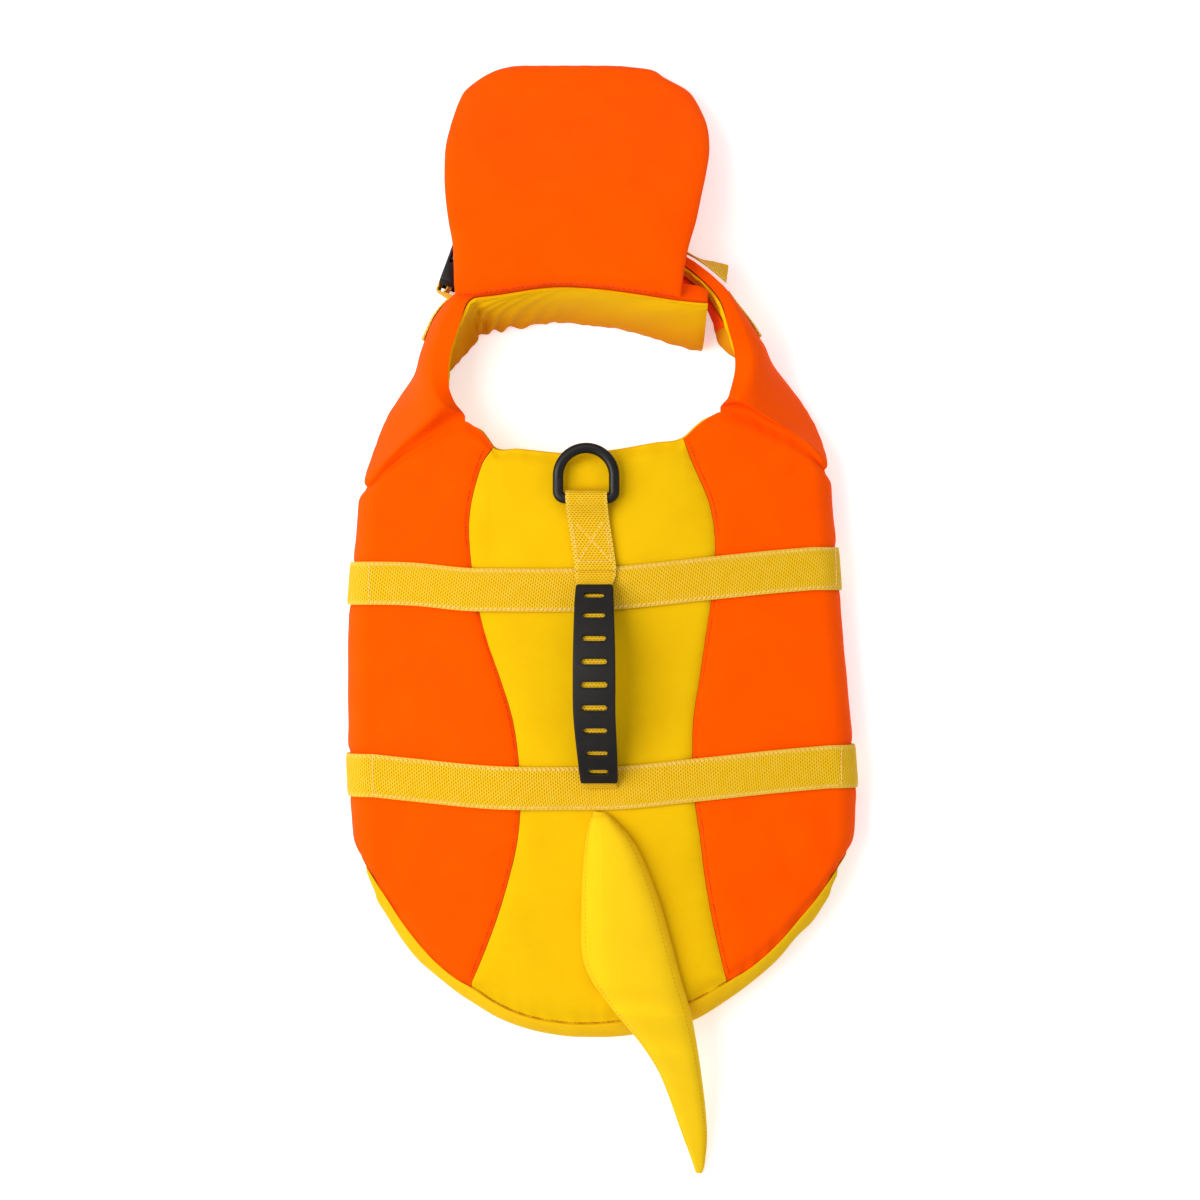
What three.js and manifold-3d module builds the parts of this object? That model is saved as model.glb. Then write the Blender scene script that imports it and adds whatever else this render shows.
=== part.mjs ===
// A dog's life jacket, size M, buckled and laid on its belly on a flat surface.
// Sizes are in millimetres. X runs to the right as seen from above, Y to the head end, Z up.
import * as THREE from 'three';
import Module from 'manifold-3d';

const solids = await Module();
solids.setup();

// Driving dimensions
const FOAM = 12;
const LINING = 1.5;
const SEAM_GAP = 0.3;
const LINING_GAP = 0.4;
const STRIP_LINING_GAP = 0.6;
const BELLY_Z = 1.9;
const ROLL = 15.2;
const EDGE_SLOPE = THREE.MathUtils.degToRad(8.4);
const TAIL_DROOP = 9;
const TAIL_START = -110;
const FLAP = 4;
const FLAP_OVERLAP = 26;
const BELLY_SEAM = 17;
const FLAP_EDGE_FOAM = 5;
const WEBBING = { width: 25, thick: 1.4, gap: 0.45 };
const BUCKLE = { length: 56, width: 33, thick: 9.4 };
const FRONT_BUCKLE_Y = 25;
const REAR_BUCKLE_Y = -87;
const HANDLE = { front: 19, rear: -93, rise: 18.5, foot: 49, width: 20, sleeve: 23.5 };
const RING = { x: -8, y: 70, z: 47.6, half: 16.2, height: 29, bar: 2.9 };

const COLOURS = {
  orange: 0xf25a05,
  yellow: 0xefbc14,
  webbing: 0xe9bd38,
  black: 0x2a2724,
};

// Tables: a row for each section, its columns named once
const table = (names, rows) => rows.map((row) => Object.fromEntries(names.map((n, i) => [n, row[i]])));

// Half width of the trunk at its widest line, on the left and on the right.
const WIDTHS = table(['y', 'left', 'right'], [
  [90, 138, 135.6],
  [76, 141, 135.8],
  [52, 143.2, 137.8],
  [17, 146, 140.4],
  [-12, 147.9, 142.8],
  [-47, 147.9, 146.1],
  [-80, 147.2, 148.6],
  [-106, 146.1, 150],
  [-127, 144.5, 149.4],
  [-143, 142.4, 145.8],
]);

// Front edge of the back: the neckline, the folds where the arms begin, and the armholes under the roll.
// s is the distance from the middle line, round the roll and in under the belly, less than 0 on the left.
const FRONT_EDGE = table(['s', 'y'], [
  [-330, 58],
  [-250, 60],
  [-195, 66],
  [-172, 70],
  [-149.6, 75.3],
  [-134.4, 80.3],
  [-116.3, 95],
  [-99.1, 105.2],
  [-89.6, 111.4],
  [-79.2, 115.4],
  [-75.2, 113.1],
  [-69.4, 109],
  [-65.4, 103.8],
  [-62.5, 99.8],
  [-48.6, 98.6],
  [-14.5, 95.7],
  [9.3, 98.1],
  [32.4, 102.1],
  [48.6, 105],
  [57.8, 113.1],
  [64.2, 117.7],
  [70.6, 120.6],
  [83.9, 118.9],
  [99.6, 110.9],
  [113.2, 104.2],
  [127, 94],
  [135, 88],
  [147, 84],
  [168, 78],
  [195, 66],
  [250, 60],
  [330, 58],
]);

// Rear edge: the hem seam on top, and the foot of the turned-up rim outside it.
const HEM = table(['s', 'seam', 'foot'], [
  [-330, -120, -121],
  [-250, -121, -122],
  [-195, -124, -125.5],
  [-174.7, -128, -130],
  [-151.2, -136, -141],
  [-144.9, -139.8, -146.2],
  [-132, -151.5, -162.5],
  [-123.8, -163.1, -175],
  [-116.3, -174.7, -186.5],
  [-107.5, -186.3, -197.5],
  [-97.1, -198, -206.5],
  [-83.7, -209, -217],
  [-74.4, -214.3, -223],
  [-61, -223, -231],
  [-47.1, -229.4, -236.6],
  [-30.8, -233.4, -240.6],
  [-11, -235.2, -242.6],
  [8.7, -234, -242.4],
  [32, -229.9, -239],
  [55.2, -221.5, -232.8],
  [75, -210.2, -221],
  [88.9, -201.5, -211],
  [104.6, -187.5, -197.5],
  [115.7, -174.7, -184.5],
  [125.6, -163.1, -175],
  [134.3, -151.5, -161.5],
  [147.1, -139.8, -145],
  [154.7, -136, -140.5],
  [178, -128, -130],
  [195, -124, -125.5],
  [250, -121, -122],
  [330, -120, -121],
]);

// Seams between the yellow centre and the orange sides.
const SEAMS = table(['y', 'left', 'right'], [
  [105, 60.5, 48.6],
  [99.8, 62.5, 50.4],
  [92.3, 67.7, 53.2],
  [80.7, 71.8, 58.4],
  [69.2, 74.7, 63.1],
  [53, 76.4, 66.5],
  [34.4, 75.2, 67.1],
  [11.3, 71.8, 64.8],
  [-11.8, 66, 61.3],
  [-35, 57.9, 57.9],
  [-58, 50.9, 54.4],
  [-81, 47.5, 53.8],
  [-104, 46.3, 55],
  [-127.6, 48, 58.4],
  [-150.7, 53.2, 61.3],
  [-173.9, 60.2, 65.4],
  [-197, 68.9, 70.6],
  [-212, 75.2, 74.3],
]);

// Strips of the collar: the neck-side seam, the way it faces in plan, its lean from flat to upright,
// its width down to the leg side, its thickness and how far it bellies outwards.
const STRIP = ['x', 'y', 'z', 'facing', 'lean', 'width', 'thick', 'belly'];
const COLLAR_LEFT = table(STRIP, [
  [-83.7, 125.6, 43.5, 205, 38, 60, 13, 0],
  [-86.6, 132.6, 44, 194, 56, 53, 13, 1],
  [-87.4, 139.5, 44.5, 181, 74, 47.2, 13, 3],
  [-86.2, 153.3, 46, 169, 95, 46, 13, 8],
  [-81.8, 167, 47, 161, 102, 47, 13, 9],
  [-78.6, 177.2, 47.5, 130, 105, 48.4, 12, 6],
  [-76.6, 182.6, 47.2, 119, 110, 49.6, 11, 4],
  [-72.8, 185.8, 47.2, 114, 111.5, 50, 11, 3],
  [-67.6, 186.8, 47.2, 109, 111, 50, 11.5, 1],
  [-58, 188, 47.2, 101, 109.5, 49.6, 12.5, 0],
  [-43, 190.4, 47.2, 95, 111, 49, 13, 0],
  [-25, 192.4, 47.2, 92, 111, 49, 13.5, 0],
  [-2, 191.4, 47.2, 87, 112, 49, 13.5, 0],
  [20.7, 188.5, 47.2, 83, 113, 50, 13.5, 0],
  [43.7, 185, 46.8, 82, 116, 51, 13.5, 0],
  [56.5, 183.8, 46.4, 85, 119, 52, 13, 0],
  [62, 183.6, 46, 87, 120, 52, 10, 0],
]);
const COLLAR_RIGHT = table(STRIP, [
  [73.9, 128.6, 43.5, -20, 34, 65, 13, 0],
  [76, 136, 44, -12, 49, 57, 13, 1],
  [77.8, 146.3, 45, 0, 70, 48, 13, 3],
  [76.9, 156, 46, 15, 92, 46, 13, 7],
  [73.9, 167, 46.5, 15, 97, 46, 12, 6],
  [70.8, 180.9, 44, 22, 97, 43, 8.6, 2],
  [66.6, 188.6, 42, 33, 96, 41, 7.6, 1],
  [60.7, 195.4, 40, 44, 95, 39, 7, 0],
  [52, 203, 38, 51, 95, 37, 6.6, 0],
  [41.8, 210, 36.5, 56, 95, 36, 6.4, 0],
]);
const PATCH_STATIONS = { from: 4.3, to: 8.4 };

// Chin float: its outline by row, the height of its middle and its thickness.
const FLOAT_ROWS = table(['y', 'left', 'right', 'z', 'thick'], [
  [187, -83.3, 46.5, 52.8, 4.6],
  [190, -83.5, 46.8, 54.2, 7.4],
  [196, -83.8, 47.6, 55.6, 10.4],
  [204, -84, 48.8, 55, 12.2],
  [216, -84.8, 51.4, 52.6, 13],
  [230, -87.4, 55.5, 48.6, 13],
  [244.7, -89.4, 58.6, 43.4, 13],
  [259.4, -90.3, 61.7, 36.8, 13],
  [274.6, -90.1, 63.8, 29, 13],
  [289.5, -87.4, 62.6, 20.4, 13],
  [304.6, -83, 56.6, 12, 12.6],
  [312.2, -78.9, 50.7, 8.4, 12],
  [319.5, -70.3, 38.4, 5.8, 10.6],
  [324.4, -60.8, 30.5, 4.4, 8.4],
  [326.9, -52, 13.5, 3, 5.2],
]);
// The float's sewn edge follows the chest band.
const FLOAT_SEAM = table(['x', 'y'], [
  [-83.3, 186.2],
  [-71.4, 187],
  [-48.3, 190.2],
  [-25.3, 192.8],
  [-2.3, 191.8],
  [20.7, 188.9],
  [46.5, 185.6],
]);

// Fin: base seam and trailing edge on one side, leading edge on the other.
const FIN_ROWS = table(['baseX', 'baseY', 'leadX', 'leadY', 'z', 'thick'], [
  [-3.4, -110.8, 3.6, -111.6, 0, 3],
  [-6.6, -118, 9, -116.2, 0, 8],
  [-9.4, -136, 21.6, -132, 0, 12.5],
  [-11, -166, 33.4, -160, 0, 14],
  [-10.8, -192.6, 41.6, -188, 0, 13.5],
  [-5, -209.5, 47.4, -210, 0.5, 13],
  [7.4, -226.5, 53, -229.4, 2.2, 12],
  [24, -247.5, 57, -251, 30.5, 11],
  [33.4, -263, 59.6, -268.6, 24, 10],
  [39.8, -278.6, 61.8, -286, 17, 9],
  [47.6, -301.5, 63.2, -305.5, 8.6, 7.4],
  [54.4, -320.5, 62, -321.6, 2.6, 5],
  [56.4, -327.4, 60.6, -327.8, 0.4, 3.4],
]);
const FIN_RESTS = 7;

// Girth straps: the middle line's place along Y at each X, over the back.
const STRAP_FRONT = table(['x', 'y'], [
  [-149, 21.2],
  [-110, 20.6],
  [-70, 17.2],
  [0, 17.7],
  [65, 24],
  [100, 27.6],
  [142, 31],
]);
const STRAP_REAR = table(['x', 'y'], [
  [-149, -89],
  [-110, -93],
  [-60, -97.4],
  [0, -97.6],
  [55, -93],
  [100, -88.4],
  [150, -84.4],
]);

// Handle webbing, from its sewn end, round the bar of the ring, along the back and over the grip.
const TAB_END = 28.4;
const GRIP_SLOTS = table(['share', 'width'], [
  [0.055, 11.6],
  [0.155, 12.6],
  [0.27, 13.6],
  [0.385, 14.6],
  [0.5, 15],
  [0.615, 14.6],
  [0.73, 13.4],
  [0.845, 12.4],
  [0.94, 11.4],
]);
const SLOT_LENGTH = 3.4;
const HANDLE_DRIFT = table(['y', 'x'], [
  [70, -8],
  [60, -7],
  [50, -5.5],
  [40, -4],
  [28, -2.6],
  [19, -3.2],
  [-12, -3.4],
  [-47, -3.4],
  [-80, -1.4],
  [-97, -0.2],
]);

// Neck strap: middle of its width, the way its face looks in plan, and how far it leans back from upright.
const NECK = ['x', 'y', 'z', 'facing', 'tilt'];
const NECK_STRAP_FRONT = table(NECK, [
  [-70.6, 255.4, 15.8, 136, 0],
  [-62.6, 258.2, 14.6, 94, 0],
  [-52, 255.8, 14, 75, 0],
  [-30, 248.8, 13.6, 72, 0],
  [0, 240, 13.6, 75, 0],
  [24, 233, 14, 72, 0],
  [39, 224.8, 15, 57, 2],
  [49, 216.4, 17, 50, 5],
  [58, 210.9, 19.6, 52, 8],
  [66, 206.8, 22.4, 71, 18],
  [74.5, 201.8, 24.5, 80, 30],
]);
const NECK_BUCKLE = { x: -85.3, y: 221.4, z: 17.2, turn: 70 };
const STRAP_ON_ARM = { from: 0.3, to: 0.83 };
// Stations between which each arm's webbing is sewn, and how far its lower edge stands off.
const ARM_STRAPS = { left: [3.4, 5.2], right: [3.45, 5.8], flare: 2.4 };

const up = new THREE.Vector3(0, 0, 1);
const v3 = (x, y, z) => new THREE.Vector3(x, y, z);
const lerp = THREE.MathUtils.lerp;
const smooth = (x, from, to) => THREE.MathUtils.smoothstep(x, from, to);
const rad = THREE.MathUtils.degToRad;

// A smooth curve through one column of a table against another, held level past its ends.
function column(rows, key, value) {
  const sorted = [...rows].sort((a, b) => a[key] - b[key]);
  const xs = sorted.map((r) => r[key]);
  const ys = sorted.map((r) => r[value]);
  const last = xs.length - 1;
  const rise = (i) => (ys[i + 1] - ys[i]) / (xs[i + 1] - xs[i]);
  const tangent = xs.map((_, i) => {
    if (i === 0) return rise(0);
    if (i === last) return rise(last - 1);
    return rise(i - 1) * rise(i) <= 0 ? 0 : (rise(i - 1) + rise(i)) / 2;
  });
  return (x) => {
    if (x <= xs[0]) return ys[0];
    if (x >= xs[last]) return ys[last];
    let i = 0;
    while (x > xs[i + 1]) i++;
    const span = xs[i + 1] - xs[i];
    const t = (x - xs[i]) / span;
    const a = (1 + 2 * t) * (1 - t) ** 2;
    const b = t * (1 - t) ** 2 * span;
    const c = t * t * (3 - 2 * t);
    const d = t * t * (t - 1) * span;
    return a * ys[i] + b * tangent[i] + c * ys[i + 1] + d * tangent[i + 1];
  };
}

// Every column of a table as curves over the row number.
function stations(rows) {
  const numbered = rows.map((row, i) => ({ ...row, row: i }));
  const curves = Object.fromEntries(Object.keys(rows[0]).map((name) => [name, column(numbered, 'row', name)]));
  return (at) => Object.fromEntries(Object.entries(curves).map(([name, curve]) => [name, curve(at)]));
}

// A closed body from indexed points; triangles that have shrunk to a line are dropped.
function body(points, faces) {
  const kept = [];
  const order = new Map();
  const index = points.map((p) => {
    const key = [p.x, p.y, p.z].map((c) => Math.round(c * 500)).join();
    if (!order.has(key)) {
      order.set(key, kept.length / 3);
      kept.push(p.x, p.y, p.z);
    }
    return order.get(key);
  });
  const triangles = faces
    .map((f) => f.map((i) => index[i]))
    .filter(([a, b, c]) => a !== b && b !== c && a !== c);
  const at = (i) => v3(kept[3 * i], kept[3 * i + 1], kept[3 * i + 2]);
  const volume = triangles.reduce((sum, [a, b, c]) => sum + at(a).dot(at(b).cross(at(c))), 0);
  if (volume < 0) triangles.forEach((t) => t.reverse());
  const geometry = new THREE.BufferGeometry();
  geometry.setAttribute('position', new THREE.Float32BufferAttribute(kept, 3));
  geometry.setIndex(triangles.flat());
  return geometry;
}

// A closed wall between two grids of points with the same rows and columns.
function wall(outer, inner) {
  const rows = outer.length;
  const cols = outer[0].length;
  const at = (face, i, j) => (face * rows + i) * cols + j;
  const faces = [];
  const quad = (a, b, c, d) => faces.push([a, b, c], [a, c, d]);
  for (let i = 0; i < rows - 1; i++) {
    for (let j = 0; j < cols - 1; j++) {
      quad(at(0, i, j), at(0, i, j + 1), at(0, i + 1, j + 1), at(0, i + 1, j));
      quad(at(1, i, j), at(1, i + 1, j), at(1, i + 1, j + 1), at(1, i, j + 1));
    }
  }
  for (let j = 0; j < cols - 1; j++) {
    quad(at(0, 0, j + 1), at(0, 0, j), at(1, 0, j), at(1, 0, j + 1));
    quad(at(0, rows - 1, j), at(0, rows - 1, j + 1), at(1, rows - 1, j + 1), at(1, rows - 1, j));
  }
  for (let i = 0; i < rows - 1; i++) {
    quad(at(0, i, 0), at(0, i + 1, 0), at(1, i + 1, 0), at(1, i, 0));
    quad(at(0, i + 1, cols - 1), at(0, i, cols - 1), at(1, i, cols - 1), at(1, i + 1, cols - 1));
  }
  return body([...outer.flat(), ...inner.flat()], faces);
}

// A grid's points moved along its own normals; the sign of by chooses the side.
function offset(grid, by) {
  return grid.map((row, i) => row.map((p, j) => {
    const above = grid[Math.max(0, i - 1)][j];
    const below = grid[Math.min(grid.length - 1, i + 1)][j];
    const before = row[Math.max(0, j - 1)];
    const after = row[Math.min(row.length - 1, j + 1)];
    const normal = below.clone().sub(above).cross(after.clone().sub(before)).normalize();
    return p.clone().addScaledVector(normal, by);
  }));
}

// A body swept through closed sections of equal length, capped at both ends or joined into a ring.
function sweep(sections, ring = false) {
  const n = sections[0].length;
  const faces = [];
  const count = sections.length;
  for (let i = 0; i < (ring ? count : count - 1); i++) {
    const next = (i + 1) % count;
    for (let j = 0; j < n; j++) {
      const k = (j + 1) % n;
      faces.push([i * n + j, i * n + k, next * n + k], [i * n + j, next * n + k, next * n + j]);
    }
  }
  for (let j = 1; !ring && j < n - 1; j++) {
    faces.push([0, j + 1, j], [(count - 1) * n, (count - 1) * n + j, (count - 1) * n + j + 1]);
  }
  return body(sections.flat(), faces);
}

// Booleans
function toSolid(geometry) {
  return new solids.Manifold(new solids.Mesh({
    numProp: 3,
    vertProperties: new Float32Array(geometry.attributes.position.array),
    triVerts: new Uint32Array(geometry.index.array),
  }));
}
function fromSolid(solid) {
  const mesh = solid.getMesh();
  const geometry = new THREE.BufferGeometry();
  geometry.setAttribute('position', new THREE.BufferAttribute(new Float32Array(mesh.vertProperties), 3));
  geometry.setIndex([...mesh.triVerts]);
  return geometry;
}

// The trunk's outer skin: nearly flat over the back, rolled at each side and flat under the belly.
const halfLeft = column(WIDTHS, 'y', 'left');
const halfRight = column(WIDTHS, 'y', 'right');
const frontEdge = column(FRONT_EDGE, 's', 'y');
const hemSeam = column(HEM, 's', 'seam');
const hemFoot = column(HEM, 's', 'foot');
const seamLeft = column(SEAMS, 'y', 'left');
const seamRight = column(SEAMS, 'y', 'right');

function trunk(side, y) {
  const centre = (side < 0 ? halfLeft(y) : halfRight(y)) - ROLL;
  const rollStart = centre + ROLL * Math.sin(EDGE_SLOPE);
  const rollEnd = rollStart + ROLL * (Math.PI - EDGE_SLOPE);
  return { centre, rollStart, rollEnd, edge: rollStart + ROLL * (Math.PI / 2 - EDGE_SLOPE) };
}
// The tail sinks towards the surface behind the rear strap; the body's sides are there already.
const TAIL_LENGTH = 130;
const FULL_DROOP_HEIGHT = 30;
const droop = (y) => TAIL_DROOP * Math.max(0, (TAIL_START - y) / TAIL_LENGTH) ** 1.7;

function skin(s, y, out) {
  const side = s < 0 ? -1 : 1;
  const a = Math.abs(s);
  const { centre, rollStart, rollEnd } = trunk(side, y);
  const middle = BELLY_Z + ROLL;
  const crown = (rollStart * Math.tan(EDGE_SLOPE)) / 2;
  let x;
  let z;
  let angle;
  if (a < rollStart) {
    angle = Math.PI / 2 - Math.atan((Math.tan(EDGE_SLOPE) * a) / rollStart);
    x = a;
    z = middle + ROLL * Math.cos(EDGE_SLOPE) + crown * (1 - (a / rollStart) ** 2);
  } else {
    angle = Math.max(-Math.PI / 2, Math.PI / 2 - EDGE_SLOPE - (a - rollStart) / ROLL);
    x = centre + ROLL * Math.cos(angle) - Math.max(0, a - rollEnd);
    z = middle + ROLL * Math.sin(angle);
  }
  const height = z + Math.sin(angle) * out;
  const sag = droop(y) * Math.min(1, height / FULL_DROOP_HEIGHT);
  return v3(side * (x + Math.cos(angle) * out), y, height - sag);
}

// Rows run round the body between the front edge and the hem; columns run along it.
const ROWS = [0, 0.008, 0.025, 0.055, 0.1, 0.16, 0.23, 0.31, 0.4, 0.49, 0.58, 0.67, 0.75, 0.82, 0.88, 0.93,
  0.965, 0.985, 1];
const LINING_ROWS = ROWS.filter((_, i) => i % 2 === 0 || i === ROWS.length - 1);
// Columns that only shape the dip at a seam, which the lining leaves out.
const NEAR_SEAM = { side: [1, 3], centre: [1, 2, 10, 11] };
const NECK_FOLD = { left: 79.2, right: 70.6 };

function rowY(s, v, toFoot = 0) {
  const rear = lerp(hemSeam(s), hemFoot(s), toFoot);
  return lerp(frontEdge(s), rear, v);
}
// Where a seam that is given along Y crosses row v.
function crossing(seam, side, v) {
  let [near, far] = [30, 90];
  for (let i = 0; i < 40; i++) {
    const middle = (near + far) / 2;
    if (middle < seam(rowY(side * middle, v))) near = middle;
    else far = middle;
  }
  return side * near;
}
const dip = (distance, depth, reach) => depth * Math.exp(-((distance / reach) ** 2));
const split = (from, to, shares) => shares.map((t) => lerp(from, to, t));
const evenly = (n) => Array.from({ length: n + 1 }, (_, i) => i / n);

// Depth of the stitched-down edges below the full pad, and how far in from the edge each one reaches.
const BACK_LENGTH = 325;
const EDGE_DIPS = { front: [4.2, 6], hem: [3, 6], seam: [2.2, 4.5] };
function edgeDip(v, seamDistance) {
  const front = dip(v * BACK_LENGTH, ...EDGE_DIPS.front);
  const hem = dip((1 - v) * BACK_LENGTH, ...EDGE_DIPS.hem);
  return Math.max(front, hem, dip(seamDistance, ...EDGE_DIPS.seam));
}
// Foam thickness round the side: full on top, thinner where it meets the belly flap.
function foamAt(s, y) {
  const { edge, rollEnd } = trunk(Math.sign(s), y);
  return lerp(FOAM, FLAP_EDGE_FOAM, smooth(Math.abs(s), edge + 4, rollEnd + BELLY_SEAM));
}
// The panel's widest part, where the roll's own place is read.
const WIDEST = 140;
function sideColumns(side, v) {
  const s = Math.abs(crossing(side < 0 ? seamLeft : seamRight, side, v)) + SEAM_GAP / 2;
  const fold = side < 0 ? NECK_FOLD.left : NECK_FOLD.right;
  const knee = fold + 17 * (1 - Math.exp(-v / 0.06));
  const { rollStart, rollEnd } = trunk(side, rowY(side * WIDEST, v));
  return [
    ...split(s, knee, [0, 0.12, 0.36, 0.7]),
    ...split(knee, rollStart, [0, 0.3, 0.6, 0.85]),
    ...split(rollStart, rollEnd, evenly(10)),
    ...split(rollEnd, rollEnd + BELLY_SEAM, [0.5, 1]),
  ].map((a) => side * a);
}
function sidePanel(side) {
  const outer = [];
  const inner = [];
  for (const v of ROWS) {
    const columns = sideColumns(side, v);
    outer.push(columns.map((s) => skin(s, rowY(s, v), -edgeDip(v, Math.abs(s - columns[0])))));
    inner.push(columns.map((s) => {
      const y = rowY(s, v, v ** 12);
      return skin(s, y, -foamAt(s, y));
    }));
  }
  return wall(outer, inner);
}
function centreColumns(v) {
  const left = crossing(seamLeft, -1, v) + SEAM_GAP / 2;
  const right = crossing(seamRight, 1, v) - SEAM_GAP / 2;
  return split(left, right, [0, 0.018, 0.05, 0.11, 0.22, 0.36, 0.5, 0.64, 0.78, 0.89, 0.95, 0.982, 1]);
}
function centrePanel() {
  const outer = [];
  const inner = [];
  for (const v of ROWS) {
    const columns = centreColumns(v);
    const inset = (s) => Math.min(s - columns[0], columns.at(-1) - s);
    outer.push(columns.map((s) => skin(s, rowY(s, v), -edgeDip(v, inset(s)))));
    inner.push(columns.map((s) => skin(s, rowY(s, v, v ** 12), -FOAM)));
  }
  return wall(outer, inner);
}

// The lining lies under all three panels and turns up over the foam at the hem.
function liningColumns(v) {
  const without = (columns, left) => columns.filter((s, j) => !left.includes(j));
  const left = without(sideColumns(-1, v), NEAR_SEAM.side).reverse();
  const right = without(sideColumns(1, v), NEAR_SEAM.side);
  return [...left, ...without(centreColumns(v), NEAR_SEAM.centre).slice(1, -1), ...right];
}
// The lining's front edge lies a little behind the neckline, and its turned-up rim clears the foam.
const NECK_INSET = 1.1;
const RIM = { clear: 0.35, below: 3 };
function backLining() {
  const near = [];
  const far = [];
  for (const v of LINING_ROWS) {
    const columns = liningColumns(v);
    const place = (s, depth) => {
      const fold = s < 0 ? NECK_FOLD.left : NECK_FOLD.right;
      const y = rowY(s, v, v ** 12) + (v === 0 ? NECK_INSET * smooth(fold - 3 - Math.abs(s), 0, 8) : 0);
      return skin(s, y, -foamAt(s, y) - depth);
    };
    near.push(columns.map((s) => place(s, LINING_GAP)));
    far.push(columns.map((s) => place(s, LINING_GAP + LINING)));
  }
  const last = liningColumns(1);
  const turn = (share, gap) => last.map((s) => {
    const foot = rowY(s, 1, 1);
    const seam = rowY(s, 1);
    const low = skin(s, foot, -foamAt(s, foot) - gap * (1 - share));
    const high = skin(s, seam, -RIM.below);
    const ahead = rowY(s + 1, 1, 1) - rowY(s - 1, 1, 1);
    const outward = v3(Math.abs(s) < WIDEST ? ahead / 2 : 0, -1, 0).normalize();
    return low.lerp(high, share).addScaledVector(outward, gap + RIM.clear);
  });
  near.push(turn(0, LINING_GAP), turn(0.5, LINING_GAP), turn(1, LINING_GAP));
  far.push(turn(0, LINING_GAP + LINING), turn(0.5, LINING_GAP + LINING), turn(1, LINING_GAP + LINING));
  return wall(near, far);
}

// Belly flaps: they rise over the two buckles and overlap at the middle.
const LIFT = { height: 9.6, flatX: 34, endX: 60, flatY: 19, endY: 38 };
const FLAP_LENGTH = 180;
function flapLift(x, y) {
  const over = (buckleY) => {
    const across = smooth(Math.abs(x), LIFT.flatX, LIFT.endX);
    const along = smooth(Math.abs(y - buckleY), LIFT.flatY, LIFT.endY);
    return (1 - across) * (1 - along);
  };
  return LIFT.height * Math.max(over(FRONT_BUCKLE_Y), over(REAR_BUCKLE_Y));
}
function bellyFlap(side) {
  const top = [];
  const bottom = [];
  for (const v of ROWS) {
    const { centre, rollEnd } = trunk(side, rowY(side * WIDEST, v));
    const seamS = side * (rollEnd + BELLY_SEAM + SEAM_GAP);
    const seam = Math.abs(skin(seamS, rowY(seamS, v), 0).x);
    const xs = [seam, seam - 5, 78, 62, 48, 37, FLAP_OVERLAP, 0, -FLAP_OVERLAP];
    const lower = [];
    const upper = [];
    xs.forEach((x, j) => {
      const s = j === 0 ? seamS : side * (rollEnd + centre - x);
      const y = rowY(s, v);
      const lap = side > 0 ? (FLAP + 0.7) * (1 - smooth(x, FLAP_OVERLAP, 37)) : 0;
      const z = BELLY_Z + flapLift(x, y) + lap;
      const ends = Math.max(dip(v * FLAP_LENGTH, 1, 6), dip((1 - v) * FLAP_LENGTH, 1, 6));
      const edge = j === xs.length - 1 ? 1 : ends;
      const thick = lerp(FLAP_EDGE_FOAM, FLAP, smooth(j, 0, 2));
      lower.push(v3(side * x, y, z));
      upper.push(v3(side * x, y, z + thick - edge));
    });
    bottom.push(lower);
    top.push(upper);
  }
  return wall(top, bottom);
}

// One strip of the collar: foam with its orange side out, and the lining that faces the neck.
// It starts against the fold in the side panel and turns from lying flat to standing on its leg side.
const ACROSS = [0, 0.05, 0.14, 0.3, 0.48, 0.64, 0.78, 0.89, 0.96, 1];
const FOLD_COLUMN = 4;
const FOLD_FOAM = [0.3, 0.6, 0.9, 1];
// The crease between the side panel and the strip: its gap, width and depths below the panel's skin.
const CREASE = { gap: 0.45, width: 3, deep: 4.2, shallow: 1.4, least: 4 };
const padShape = (q) => 0.42 + 0.58 * (1 - Math.abs(2 * q - 1) ** 5);
function stripSection(station) {
  const { x, y, z, facing, lean, width, thick, belly } = station;
  const out = v3(Math.cos(rad(facing)), Math.sin(rad(facing)), 0);
  const along = out.clone().multiplyScalar(Math.cos(rad(lean))).addScaledVector(up, -Math.sin(rad(lean)));
  const normal = out.clone().multiplyScalar(Math.sin(rad(lean))).addScaledVector(up, Math.cos(rad(lean)));
  const top = v3(x, y, z).addScaledVector(out, (thick / 2) * Math.sin(rad(lean)));
  return (q, depth) => {
    const p = top.clone().addScaledVector(along, q * width);
    p.addScaledVector(normal, depth + belly * 4 * q * (1 - q));
    p.z = Math.max(p.z, 0);
    return p;
  };
}
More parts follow.
